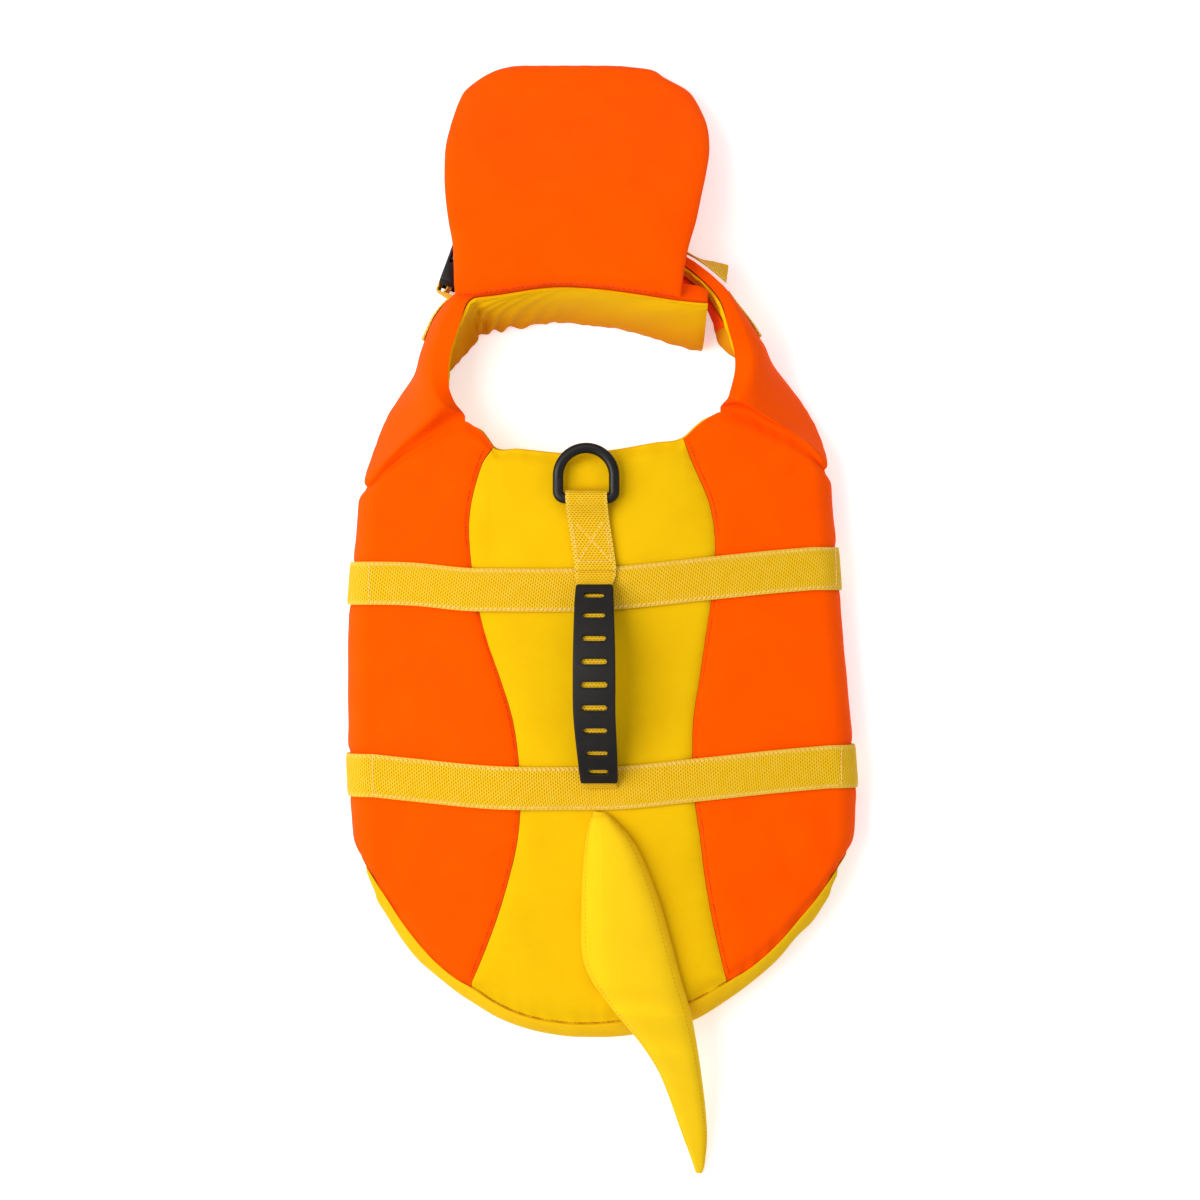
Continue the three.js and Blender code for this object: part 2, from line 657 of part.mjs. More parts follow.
function strip(side, rows, count) {
  const at = stations(rows);
  const outer = [];
  const inner = [];
  const columns = sideColumns(side, 0).slice(FOLD_COLUMN, FOLD_COLUMN + ACROSS.length);
  const thin = (j) => FOLD_FOAM[Math.min(j, FOLD_FOAM.length - 1)];
  const crease = (shift, depth) => columns.map((s, j) => {
    return skin(s, frontEdge(s) + CREASE.gap + shift, -lerp(CREASE.least, depth, thin(j)));
  });
  outer.push(crease(0, CREASE.deep), crease(CREASE.width, CREASE.shallow));
  inner.push(crease(0, FOAM), crease(CREASE.width, FOAM));
  for (const share of evenly(count)) {
    const station = at(share * (rows.length - 1));
    const place = stripSection(station);
    const half = station.thick / 2;
    outer.push(ACROSS.map((q) => place(q, half * padShape(q))));
    inner.push(ACROSS.map((q) => place(q, -half * padShape(q))));
  }
  // The lining starts past the fold and its leg side stops short of the foam's.
  const layer = (by) => {
    const grid = offset(inner, side * by).slice(2);
    grid.flat().forEach((p) => p.setZ(Math.max(0, p.z)));
    return grid.map((row) => row.slice(0, -1));
  };
  const near = layer(STRIP_LINING_GAP);
  const far = layer(STRIP_LINING_GAP + LINING);
  return { foam: wall(outer, inner), lining: wall(near, far) };
}

// A flat band through frames: the points across its middle and the way its face looks.
function band(frames, thick) {
  const side = (by) => frames.map(({ points, face }) => points.map((p) => p.clone().addScaledVector(face, by)));
  return wall(side(thick / 2), side(-thick / 2));
}

// Points across a strap, as shares of its width: two where it lies flat, more where it bends to a pad.
const LINES = [-0.5, 0.5];
const BENT_LINES = [-0.5, -0.25, 0, 0.25, 0.5];

// The end of a strap, folded round the bar of a buckle that lies along X with its foot at z = 0.
const BAR = { radius: 2.9, x: BUCKLE.length / 2 - 4.3, tail: 13, neckTail: 7, knee: 5, fall: 0.4, lead: 7 };
function barFold(lines, tail = BAR.tail) {
  const half = WEBBING.thick / 2;
  const middle = half + BAR.radius;
  const frames = [];
  const add = (x, z, nx, nz) => frames.push({
    points: lines.map((t) => v3(x, t * WEBBING.width, z)),
    face: v3(nx, 0, nz).normalize(),
  });
  add(BAR.x + BAR.lead, half + 0.03, 0, -1);
  add(BAR.x + 3, half, 0, -1);
  for (const t of evenly(6)) {
    const angle = -Math.PI / 2 - t * Math.PI;
    const [c, s] = [Math.cos(angle), Math.sin(angle)];
    add(BAR.x + BAR.radius * c, middle + BAR.radius * s, c, s);
  }
  const top = middle + BAR.radius - 0.6;
  add(BAR.x + BAR.knee, top, 0.12, 1);
  add(BAR.x + tail, top - BAR.fall * (tail - BAR.knee), 0.1, 1);
  return frames;
}

function moved(frames, matrix) {
  return frames.map(({ points, face }) => ({
    points: points.map((p) => p.clone().applyMatrix4(matrix)),
    face: face.clone().transformDirection(matrix),
  }));
}
function mirrored(frames) {
  const flip = ({ x, y, z }) => v3(-x, y, z);
  return frames.map(({ points, face }) => ({ points: points.map(flip), face: flip(face) }));
}

// Girth strap: round the body from one half of its buckle to the other.
function girthStrap(rows, buckleY) {
  const place = column(rows, 'x', 'y');
  const ring = [];
  for (const side of [-1, 1]) {
    const { centre, rollStart, rollEnd } = trunk(side, place(side * 150));
    const toBuckle = rollEnd + centre - BAR.x - 2 * BAR.lead;
    const part = [
      ...split(0, rollStart, [0, 0.12, 0.24, 0.36, 0.48, 0.6, 0.72, 0.84, 0.93]),
      ...split(rollStart, rollEnd, evenly(12)),
      ...split(rollEnd, toBuckle, [0.35, 1]),
    ].map((a) => {
      const under = smooth(a, rollEnd - 20, toBuckle);
      return { s: side * a, y: lerp(place(side * Math.min(a, centre)), buckleY, under) };
    });
    ring.push(side < 0 ? part.reverse() : part.slice(1));
  }
  const round = ring.flat().map(({ s, y }) => {
    const points = LINES.map((t) => skin(s, y + t * WEBBING.width, WEBBING.gap + WEBBING.thick / 2));
    const face = skin(s, y, 1).sub(skin(s, y, 0)).normalize();
    return { points, face };
  });
  const shift = new THREE.Matrix4().makeTranslation(0, buckleY, 0);
  const right = moved(barFold(LINES), shift);
  const left = moved(mirrored(barFold(LINES)), shift);
  return band([...left.reverse(), ...round, ...right], WEBBING.thick);
}

// Webbing sewn to the outside of a collar strip.
function alongStrip(rows, from, to, count) {
  const at = stations(rows);
  return evenly(count).map((share) => {
    const station = at(lerp(from, to, share));
    const place = stripSection(station);
    const lift = WEBBING.gap + 0.2 + WEBBING.thick / 2;
    const points = BENT_LINES.map((t) => {
      const q = lerp(STRAP_ON_ARM.to, STRAP_ON_ARM.from, t + 0.5);
      return place(q, (station.thick / 2) * padShape(q) + lift + ARM_STRAPS.flare * (0.5 - t));
    });
    const middle = (STRAP_ON_ARM.from + STRAP_ON_ARM.to) / 2;
    return { points, face: place(middle, 1).sub(place(middle, 0)).normalize() };
  });
}

// Webbing that stands on its edge, from a table of places.
function upright(rows, count) {
  const at = stations(rows);
  return evenly(count).map((share) => {
    const { x, y, z, facing, tilt } = at(share * (rows.length - 1));
    const out = v3(Math.cos(rad(facing)), Math.sin(rad(facing)), 0);
    const rise = up.clone().multiplyScalar(Math.cos(rad(tilt))).addScaledVector(out, -Math.sin(rad(tilt)));
    const face = out.clone().multiplyScalar(Math.cos(rad(tilt))).addScaledVector(up, Math.sin(rad(tilt)));
    return { points: LINES.map((t) => v3(x, y, z).addScaledVector(rise, t * WEBBING.width)), face };
  });
}

// Side-release buckle, closed, along X with its middle at the origin and its foot at z = 0.
function block(x0, x1, y0, y1, z0, z1) {
  return solids.Manifold.cube([x1 - x0, y1 - y0, z1 - z0]).translate([x0, y0, z0]);
}
// A plate cut to an outline in plan.
function plate(outline, z0, z1) {
  return solids.Manifold.extrude([outline], z1 - z0).translate([0, 0, z0]);
}
function buckleHalves() {
  const { length, width, thick } = BUCKLE;
  const w = width / 2;
  const end = length / 2;
  const mouth = 6;
  const corner = 4;
  // The socket lies at negative X, the plug at positive X.
  const socketShape = [
    [-end, -w + corner], [-end + corner, -w], [-10, -w + 1.5], [mouth - 3, -w], [mouth, -w + 2],
    [mouth, w - 2], [mouth - 3, w], [-10, w - 1.5], [-end + corner, w], [-end, w - corner],
  ];
  const slotWidth = 13.4;
  const slotIn = BAR.x - BAR.radius - 1.2;
  const bar = block(BAR.x - 1.3, BAR.x + 1.3, -slotWidth - 1, slotWidth + 1, 2.3, 4.9);
  const slot = block(slotIn, end + 1, -slotWidth, slotWidth, -1, thick + 1);
  const socket = plate(socketShape, 0.6, thick - 0.4)
    .subtract(block(-15, mouth + 1, -12.6, 12.6, 2.4, thick - 2.2))
    .subtract(block(-13, -3, -w - 1, w + 1, 2.4, thick - 2.2))
    .subtract(slot.mirror([1, 0, 0]))
    .add(bar.mirror([1, 0, 0]));
  const plugShape = [
    [mouth + 0.4, -w + 1], [end - corner, -w + 0.5], [end, -w + corner],
    [end, w - corner], [end - corner, w - 0.5], [mouth + 0.4, w - 1],
  ];
  const prong = plate([
    [-3.6, 15.6], [-11.6, 15.4], [-12.4, 12], [-9, 9.4], [mouth + 1, 8.6], [mouth + 1, 12.2], [-4.4, 12.2],
  ], 2.8, thick - 2.6);
  const plug = plate(plugShape, 0.6, thick - 0.4)
    .add(block(-11, mouth + 1, -2.6, 2.6, 2.8, thick - 2.6))
    .add(prong)
    .add(prong.mirror([0, 1, 0]))
    .subtract(slot)
    .add(bar);
  return { socket: fromSolid(socket), plug: fromSolid(plug) };
}

const neckBuckleMatrix = new THREE.Matrix4().makeTranslation(NECK_BUCKLE.x, NECK_BUCKLE.y, NECK_BUCKLE.z)
  .multiply(new THREE.Matrix4().makeRotationZ(rad(NECK_BUCKLE.turn)))
  .multiply(new THREE.Matrix4().makeRotationX(Math.PI / 2));

// The neck strap: sewn to each arm, and buckled under the float.
function neckStrapLeft() {
  const arm = alongStrip(COLLAR_LEFT, ARM_STRAPS.left[0], ARM_STRAPS.left[1], 5);
  return band([...arm, ...moved(mirrored(barFold(BENT_LINES, BAR.neckTail)), neckBuckleMatrix)], WEBBING.thick);
}
function neckStrapFront() {
  const fold = moved(barFold(LINES, BAR.neckTail), neckBuckleMatrix).reverse();
  return band([...fold, ...upright(NECK_STRAP_FRONT, 22)], WEBBING.thick);
}
function neckStrapRight() {
  return band(alongStrip(COLLAR_RIGHT, ARM_STRAPS.right[0], ARM_STRAPS.right[1], 6), WEBBING.thick);
}

// The touch-fastening patch on the inner face of the right arm.
function closurePatch() {
  const at = stations(COLLAR_RIGHT);
  const near = [];
  const far = [];
  for (const share of evenly(7)) {
    const station = at(lerp(PATCH_STATIONS.from, PATCH_STATIONS.to, share));
    const place = stripSection(station);
    const line = (depth) => [0.44, 0.54, 0.64, 0.74, 0.84].map((q) => {
      return place(q, -(station.thick / 2) * padShape(q) - STRIP_LINING_GAP - LINING - depth);
    });
    near.push(line(SEAM_GAP));
    far.push(line(SEAM_GAP + 1.2));
  }
  return wall(near, far);
}

// The float: a padded pillow whose rear edge bows along its seam.
function chinFloat() {
  const at = stations(FLOAT_ROWS);
  const seam = column(FLOAT_SEAM, 'x', 'y');
  const shares = [0, 0.02, 0.06, 0.14, 0.3, 0.5, 0.7, 0.86, 0.94, 0.98, 1];
  const top = [];
  const bottom = [];
  for (const share of evenly(20)) {
    const { y, left, right, z, thick } = at(share * (FLOAT_ROWS.length - 1));
    const line = (sign) => shares.map((q) => {
      const x = lerp(left, right, q);
      const pad = 0.36 + 0.64 * (1 - Math.abs(2 * q - 1) ** 8);
      const bow = (seam(x) - FLOAT_ROWS[0].y) * Math.max(0, 1 - share * 2.2) ** 2;
      return v3(x, y + bow, Math.max(0, z + (sign * pad * thick) / 2));
    });
    top.push(line(1));
    bottom.push(line(-1));
  }
  return wall(top, bottom);
}

// The fin lies on the back as far as the tail's edge, and then drops to the surface.
function fin() {
  const at = stations(FIN_ROWS);
  const shares = [0, 0.07, 0.22, 0.45, 0.7, 0.9, 1];
  const top = [];
  const bottom = [];
  for (const share of evenly(24)) {
    const row = share * (FIN_ROWS.length - 1);
    const { baseX, baseY, leadX, leadY, z, thick } = at(row);
    const free = smooth(row, FIN_RESTS - 1, FIN_RESTS);
    const lower = [];
    const upper = [];
    for (const q of shares) {
      const x = lerp(baseX, leadX, q);
      const y = lerp(baseY, leadY, q);
      const rest = skin(x, y, SEAM_GAP + 0.1).z + (row < FIN_RESTS - 1 ? z : FIN_ROWS[FIN_RESTS - 1].z);
      const low = lerp(rest, row < FIN_RESTS ? FIN_ROWS[FIN_RESTS].z : z, free);
      const pad = 0.18 + 0.82 * (1 - Math.abs(2 * q - 1) ** 3.4);
      lower.push(v3(x, y, low));
      upper.push(v3(x, y, low + pad * thick));
    }
    bottom.push(lower);
    top.push(upper);
  }
  return wall(top, bottom);
}

// The handle: one length of webbing, and the rubber sleeve that it runs through.
const drift = column(HANDLE_DRIFT, 'y', 'x');
const archZ = (y) => {
  const t = (y - HANDLE.rear) / (HANDLE.front - HANDLE.rear);
  return HANDLE.foot + HANDLE.rise * (1 - (2 * t - 1) ** 2);
};
const archSlope = (y) => {
  const span = HANDLE.front - HANDLE.rear;
  return (-4 * HANDLE.rise * (2 * (y - HANDLE.rear) / span - 1)) / span;
};
function handlePath() {
  const half = WEBBING.thick / 2;
  const onBack = (y) => skin(drift(y), y, SEAM_GAP + half).z;
  const onStrap = (y) => onBack(y) + WEBBING.gap + WEBBING.thick;
  const layer = WEBBING.thick + SEAM_GAP;
  const loop = RING.bar / Math.cos(Math.PI / 8) + 0.4 + half;
  const wide = 24;
  const path = [
    [TAB_END, onStrap(TAB_END) + layer, wide],
    [31.5, onStrap(31.5) + layer - 0.4, wide],
    [35, onBack(35) + layer, wide],
    [45, onBack(45) + layer, wide],
    [55, onBack(55) + layer, wide],
    [61, onBack(61) + layer + 1.6, wide],
    [66, RING.z + loop - 1.4, wide],
  ];
  for (const t of evenly(10)) {
    const angle = Math.PI / 2 - t * Math.PI;
    path.push([RING.y + loop * Math.cos(angle), RING.z + loop * Math.sin(angle), wide]);
  }
  path.push(
    [60, onBack(60), wide],
    [46, onBack(46), wide],
    [35.5, onBack(35.5), wide],
    [31.6, onStrap(31.6), wide],
    [26.4, onStrap(26.4), wide],
    [23.6, onStrap(23.6) + 0.9, 23],
    [21.2, onStrap(21.2) + 2.4, 21],
  );
  for (const t of evenly(16)) {
    const y = lerp(HANDLE.front, HANDLE.rear, t);
    path.push([y, archZ(y), HANDLE.width]);
  }
  path.push(
    [-95.4, 46.6, HANDLE.width],
    [-96.9, 45.5, HANDLE.width],
    [-96.7, onStrap(-96.7) + 0.15, HANDLE.width],
    [-95, onStrap(-95), HANDLE.width],
    [-85, onStrap(-85), HANDLE.width],
  );
  return path;
}
function handleWebbing() {
  const path = handlePath();
  const frames = path.map(([y, z, width], i) => {
    const [y0, z0] = path[Math.max(0, i - 1)];
    const [y1, z1] = path[Math.min(path.length - 1, i + 1)];
    const along = v3(0, y1 - y0, z1 - z0).normalize();
    const face = v3(0, -along.z, along.y);
    const x = drift(y);
    return { points: [-0.5, 0.5].map((t) => v3(x + t * width, y, z)), face };
  });
  return band(frames, WEBBING.thick);
}

function grip() {
  const height = 5.6;
  const channel = { width: HANDLE.width + 0.7, height: 2.2 };
  const section = (y, width, tall, bevel) => {
    const slope = archSlope(y);
    const normal = v3(0, -slope, 1).normalize();
    const [w, h] = [width / 2, tall / 2];
    const profile = bevel
      ? [[-w, -h + bevel], [-w + bevel, -h], [w - bevel, -h], [w, -h + bevel],
        [w, h - bevel], [w - bevel, h], [-w + bevel, h], [-w, h - bevel]]
      : [[-w, -h], [w, -h], [w, h], [-w, h]];
    return profile.map(([a, b]) => v3(drift(y) + a, y, archZ(y)).addScaledVector(normal, b));
  };
  const along = (n) => evenly(n).map((t) => lerp(HANDLE.front, HANDLE.rear, t));
  const swell = (y) => 1 + 0.03 * Math.sin((Math.PI * (y - HANDLE.rear)) / (HANDLE.front - HANDLE.rear));
  let sleeve = toSolid(sweep(along(20).map((y) => section(y, HANDLE.sleeve * swell(y), height, 1.2))));
  const ends = [HANDLE.front + 1, ...along(20).slice(1, -1), HANDLE.rear - 1];
  sleeve = sleeve.subtract(toSolid(sweep(ends.map((y) => section(y, channel.width, channel.height, 0)))));
  for (const { share, width } of GRIP_SLOTS) {
    const y = lerp(HANDLE.front, HANDLE.rear, share);
    const slot = solids.Manifold.cube([width, SLOT_LENGTH, height], true)
      .translate([0, 0, height / 2])
      .rotate([THREE.MathUtils.radToDeg(Math.atan(archSlope(y))), 0, 0])
      .translate([drift(y), y, archZ(y)]);
    sleeve = sleeve.subtract(slot);
  }
  return fromSolid(sleeve);
}

// The ring's path starts along its bar and goes round the bow.
function dRing() {
  const { half, height, bar } = RING;
  const corner = 4;
  const arcY = height - half;
  const path = [];
  const arc = (cx, cy, radius, from, to, steps) => {
    for (const t of evenly(steps)) {
      const a = rad(lerp(from, to, t));
      path.push(v3(cx + radius * Math.cos(a), cy + radius * Math.sin(a), 0));
    }
  };
  arc(half - corner, corner, corner, -90, 0, 4);
  arc(0, arcY, half, 0, 180, 14);
  arc(-half + corner, corner, corner, 180, 270, 4);
  const n = path.length;
  const sections = path.map((p, i) => {
    const along = path[(i + 1) % n].clone().sub(path[(i + n - 1) % n]).normalize();
    const side = along.clone().cross(up);
    return Array.from({ length: 8 }, (_, k) => {
      const a = rad(22.5 + 45 * k);
      const r = bar / Math.cos(Math.PI / 8);
      return p.clone().addScaledVector(side, r * Math.cos(a)).addScaledVector(up, r * Math.sin(a))
        .add(v3(RING.x, RING.y, RING.z));
    });
  });
  return sweep(sections, true);
}

const group = new THREE.Group();
group.name = 'dog_life_jacket';
function add(name, geometry, colour, roughness = 0.85, matrix = null) {
  const material = new THREE.MeshStandardMaterial({ color: colour, roughness, metalness: 0 });
  const shape = geometry.clone();
  if (matrix) shape.applyMatrix4(matrix);
  shape.computeVertexNormals();
  const mesh = new THREE.Mesh(shape, material);
  mesh.name = name;
  group.add(mesh);
  return mesh;
}

add('back_centre', centrePanel(), COLOURS.yellow);
add('side_left', sidePanel(-1), COLOURS.orange);
add('side_right', sidePanel(1), COLOURS.orange);
add('back_lining', backLining(), COLOURS.yellow);
add('belly_left', bellyFlap(-1), COLOURS.yellow);
add('belly_right', bellyFlap(1), COLOURS.yellow);

const left = strip(-1, COLLAR_LEFT, 23);
add('collar_left', left.foam, COLOURS.orange);
add('collar_left_lining', left.lining, COLOURS.yellow);
const right = strip(1, COLLAR_RIGHT, 16);
add('collar_right', right.foam, COLOURS.orange);
add('collar_right_lining', right.lining, COLOURS.yellow);
add('closure_patch', closurePatch(), COLOURS.orange);
add('chin_float', chinFloat(), COLOURS.orange);
add('fin', fin(), COLOURS.yellow);
add('strap_front', girthStrap(STRAP_FRONT, FRONT_BUCKLE_Y), COLOURS.webbing);
add('strap_rear', girthStrap(STRAP_REAR, REAR_BUCKLE_Y), COLOURS.webbing);
const { socket, plug } = buckleHalves();
for (const [name, y] of [['front', FRONT_BUCKLE_Y], ['rear', REAR_BUCKLE_Y]]) {
  const place = new THREE.Matrix4().makeTranslation(0, y, 0);
  add(`buckle_${name}_socket`, socket, COLOURS.black, 0.45, place);
  add(`buckle_${name}_plug`, plug, COLOURS.black, 0.45, place);
}
add('buckle_neck_socket', socket, COLOURS.black, 0.45, neckBuckleMatrix);
add('buckle_neck_plug', plug, COLOURS.black, 0.45, neckBuckleMatrix);
add('neck_strap_left', neckStrapLeft(), COLOURS.webbing);
add('neck_strap_front', neckStrapFront(), COLOURS.webbing);
add('neck_strap_right', neckStrapRight(), COLOURS.webbing);
add('handle_webbing', handleWebbing(), COLOURS.webbing);
add('handle_grip', grip(), COLOURS.black, 0.7);
add('d_ring', dRing(), COLOURS.black, 0.45);

export default group;
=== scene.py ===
"""A dog's life jacket, size M, laid on its belly: cloth, foam, webbing, thread and moulded plastic."""

import math

import bmesh
import bpy
import numpy as np
from mathutils import Matrix, Vector


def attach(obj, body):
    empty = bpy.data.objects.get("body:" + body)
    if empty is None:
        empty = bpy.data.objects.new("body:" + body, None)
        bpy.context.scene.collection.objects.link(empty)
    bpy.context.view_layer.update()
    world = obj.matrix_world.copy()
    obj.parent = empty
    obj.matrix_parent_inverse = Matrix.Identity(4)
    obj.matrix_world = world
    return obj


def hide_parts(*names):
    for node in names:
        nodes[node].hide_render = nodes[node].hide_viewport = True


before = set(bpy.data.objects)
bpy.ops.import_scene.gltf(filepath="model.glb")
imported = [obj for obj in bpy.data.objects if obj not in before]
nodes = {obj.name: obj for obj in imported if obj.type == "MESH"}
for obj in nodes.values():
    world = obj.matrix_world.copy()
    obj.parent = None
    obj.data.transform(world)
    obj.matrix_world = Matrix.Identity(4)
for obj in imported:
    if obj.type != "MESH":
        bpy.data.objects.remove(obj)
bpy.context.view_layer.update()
rng = np.random.default_rng(7)

# Sizes in millimetres, the same as the solids'. X is right, Y is the head end, Z is up.
MM = 0.001
FOAM = 12
LINING = 1.5
SEAM_GAP = 0.3
LINING_GAP = 0.4
STRIP_LINING_GAP = 0.6
BELLY_Z = 1.9
ROLL = 15.2
EDGE_SLOPE = math.radians(8.4)
TAIL_DROOP = 9
TAIL_START = -110
TAIL_LENGTH = 130
FLAP = 4
FLAP_OVERLAP = 26
FLAP_EDGE_FOAM = 5
BELLY_SEAM = 17
WEB = 25
WEB_THICK = 1.4
WEB_GAP = 0.45
FRONT_BUCKLE_Y = 25
REAR_BUCKLE_Y = -87
HANDLE_FRONT = 19
HANDLE_REAR = -93
HANDLE_RISE = 18.5
HANDLE_FOOT = 49
HANDLE_WIDTH = 20
SLEEVE = 23.5
RING = (-8, 70, 47.6)
RING_HALF = 16.2
RING_HEIGHT = 29
RING_BAR = 2.9
NECK_BUCKLE = (-85.3, 221.4, 17.2, 70)

# Camera over the middle of the frame, 1.8 m up, as the photograph's scale needs
CAMERA_AT = (0, 0.0113, 1.8)
FRAME_WIDTH = 0.711
SENSOR = 36

# y, left, right
WIDTHS = [
    (90, 138, 135.6), (76, 141, 135.8), (52, 143.2, 137.8), (17, 146, 140.4), (-12, 147.9, 142.8),
    (-47, 147.9, 146.1), (-80, 147.2, 148.6), (-106, 146.1, 150), (-127, 144.5, 149.4), (-143, 142.4, 145.8),
]
# s, y
FRONT_EDGE = [
    (-330, 58), (-250, 60), (-195, 66), (-172, 70), (-149.6, 75.3), (-134.4, 80.3), (-116.3, 95), (-99.1, 105.2),
    (-89.6, 111.4), (-79.2, 115.4), (-75.2, 113.1), (-69.4, 109), (-65.4, 103.8), (-62.5, 99.8), (-48.6, 98.6),
    (-14.5, 95.7), (9.3, 98.1), (32.4, 102.1), (48.6, 105), (57.8, 113.1), (64.2, 117.7), (70.6, 120.6),
    (83.9, 118.9), (99.6, 110.9), (113.2, 104.2), (127, 94), (135, 88), (147, 84), (168, 78), (195, 66),
    (250, 60), (330, 58),
]
# s, seam, foot
HEM = [
    (-330, -120, -121), (-250, -121, -122), (-195, -124, -125.5), (-174.7, -128, -130), (-151.2, -136, -141),
    (-144.9, -139.8, -146.2), (-132, -151.5, -162.5), (-123.8, -163.1, -175), (-116.3, -174.7, -186.5),
    (-107.5, -186.3, -197.5), (-97.1, -198, -206.5), (-83.7, -209, -217), (-74.4, -214.3, -223), (-61, -223, -231),
    (-47.1, -229.4, -236.6), (-30.8, -233.4, -240.6), (-11, -235.2, -242.6), (8.7, -234, -242.4), (32, -229.9, -239),
    (55.2, -221.5, -232.8), (75, -210.2, -221), (88.9, -201.5, -211), (104.6, -187.5, -197.5),
    (115.7, -174.7, -184.5),
    (125.6, -163.1, -175), (134.3, -151.5, -161.5), (147.1, -139.8, -145), (154.7, -136, -140.5), (178, -128, -130),
    (195, -124, -125.5), (250, -121, -122), (330, -120, -121),
]
# y, left, right
SEAMS = [
    (105, 60.5, 48.6), (99.8, 62.5, 50.4), (92.3, 67.7, 53.2), (80.7, 71.8, 58.4), (69.2, 74.7, 63.1),
    (53, 76.4, 66.5),
    (34.4, 75.2, 67.1), (11.3, 71.8, 64.8), (-11.8, 66, 61.3), (-35, 57.9, 57.9), (-58, 50.9, 54.4),
    (-81, 47.5, 53.8),
    (-104, 46.3, 55), (-127.6, 48, 58.4), (-150.7, 53.2, 61.3), (-173.9, 60.2, 65.4), (-197, 68.9, 70.6),
    (-212, 75.2, 74.3),
]
# x, y, z, facing, lean, width, thick, belly
COLLAR_LEFT = [
    (-83.7, 125.6, 43.5, 205, 38, 60, 13, 0), (-86.6, 132.6, 44, 194, 56, 53, 13, 1),
    (-87.4, 139.5, 44.5, 181, 74, 47.2, 13, 3), (-86.2, 153.3, 46, 169, 95, 46, 13, 8),
    (-81.8, 167, 47, 161, 102, 47, 13, 9), (-78.6, 177.2, 47.5, 130, 105, 48.4, 12, 6),
    (-76.6, 182.6, 47.2, 119, 110, 49.6, 11, 4), (-72.8, 185.8, 47.2, 114, 111.5, 50, 11, 3),
    (-67.6, 186.8, 47.2, 109, 111, 50, 11.5, 1), (-58, 188, 47.2, 101, 109.5, 49.6, 12.5, 0),
    (-43, 190.4, 47.2, 95, 111, 49, 13, 0), (-25, 192.4, 47.2, 92, 111, 49, 13.5, 0),
    (-2, 191.4, 47.2, 87, 112, 49, 13.5, 0), (20.7, 188.5, 47.2, 83, 113, 50, 13.5, 0),
    (43.7, 185, 46.8, 82, 116, 51, 13.5, 0), (56.5, 183.8, 46.4, 85, 119, 52, 13, 0),
    (62, 183.6, 46, 87, 120, 52, 10, 0),
]
COLLAR_RIGHT = [
    (73.9, 128.6, 43.5, -20, 34, 65, 13, 0), (76, 136, 44, -12, 49, 57, 13, 1), (77.8, 146.3, 45, 0, 70, 48, 13, 3),
    (76.9, 156, 46, 15, 92, 46, 13, 7), (73.9, 167, 46.5, 15, 97, 46, 12, 6), (70.8, 180.9, 44, 22, 97, 43, 8.6, 2),
    (66.6, 188.6, 42, 33, 96, 41, 7.6, 1), (60.7, 195.4, 40, 44, 95, 39, 7, 0), (52, 203, 38, 51, 95, 37, 6.6, 0),
    (41.8, 210, 36.5, 56, 95, 36, 6.4, 0),
]
# y, left, right, z, thick
FLOAT_ROWS = [
    (187, -83.3, 46.5, 52.8, 4.6), (190, -83.5, 46.8, 54.2, 7.4), (196, -83.8, 47.6, 55.6, 10.4),
    (204, -84, 48.8, 55, 12.2), (216, -84.8, 51.4, 52.6, 13), (230, -87.4, 55.5, 48.6, 13),
    (244.7, -89.4, 58.6, 43.4, 13), (259.4, -90.3, 61.7, 36.8, 13), (274.6, -90.1, 63.8, 29, 13),
    (289.5, -87.4, 62.6, 20.4, 13), (304.6, -83, 56.6, 12, 12.6), (312.2, -78.9, 50.7, 8.4, 12),
    (319.5, -70.3, 38.4, 5.8, 10.6), (324.4, -60.8, 30.5, 4.4, 8.4), (326.9, -52, 13.5, 3, 5.2),
]
# x, y
FLOAT_SEAM = [
    (-83.3, 186.2), (-71.4, 187), (-48.3, 190.2), (-25.3, 192.8), (-2.3, 191.8), (20.7, 188.9), (46.5, 185.6),
]
# base x, base y, lead x, lead y, z, thick
FIN_ROWS = [
    (-3.4, -110.8, 3.6, -111.6, 0, 3), (-6.6, -118, 9, -116.2, 0, 8), (-9.4, -136, 21.6, -132, 0, 12.5),
    (-11, -166, 33.4, -160, 0, 14), (-10.8, -192.6, 41.6, -188, 0, 13.5), (-5, -209.5, 47.4, -210, 0.5, 13),
    (7.4, -226.5, 53, -229.4, 2.2, 12), (24, -247.5, 57, -251, 30.5, 11), (33.4, -263, 59.6, -268.6, 24, 10),
    (39.8, -278.6, 61.8, -286, 17, 9), (47.6, -301.5, 63.2, -305.5, 8.6, 7.4), (54.4, -320.5, 62, -321.6, 2.6, 5),
    (56.4, -327.4, 60.6, -327.8, 0.4, 3.4),
]
FIN_RESTS = 7
# x, y
STRAP_FRONT = [(-149, 21.2), (-110, 20.6), (-70, 17.2), (0, 17.7), (65, 24), (100, 27.6), (142, 31)]
STRAP_REAR = [(-149, -89), (-110, -93), (-60, -97.4), (0, -97.6), (55, -93), (100, -88.4), (150, -84.4)]
# share, width
GRIP_SLOTS = [
    (0.055, 11.6), (0.155, 12.6), (0.27, 13.6), (0.385, 14.6), (0.5, 15), (0.615, 14.6), (0.73, 13.4), (0.845, 12.4),
    (0.94, 11.4),
]
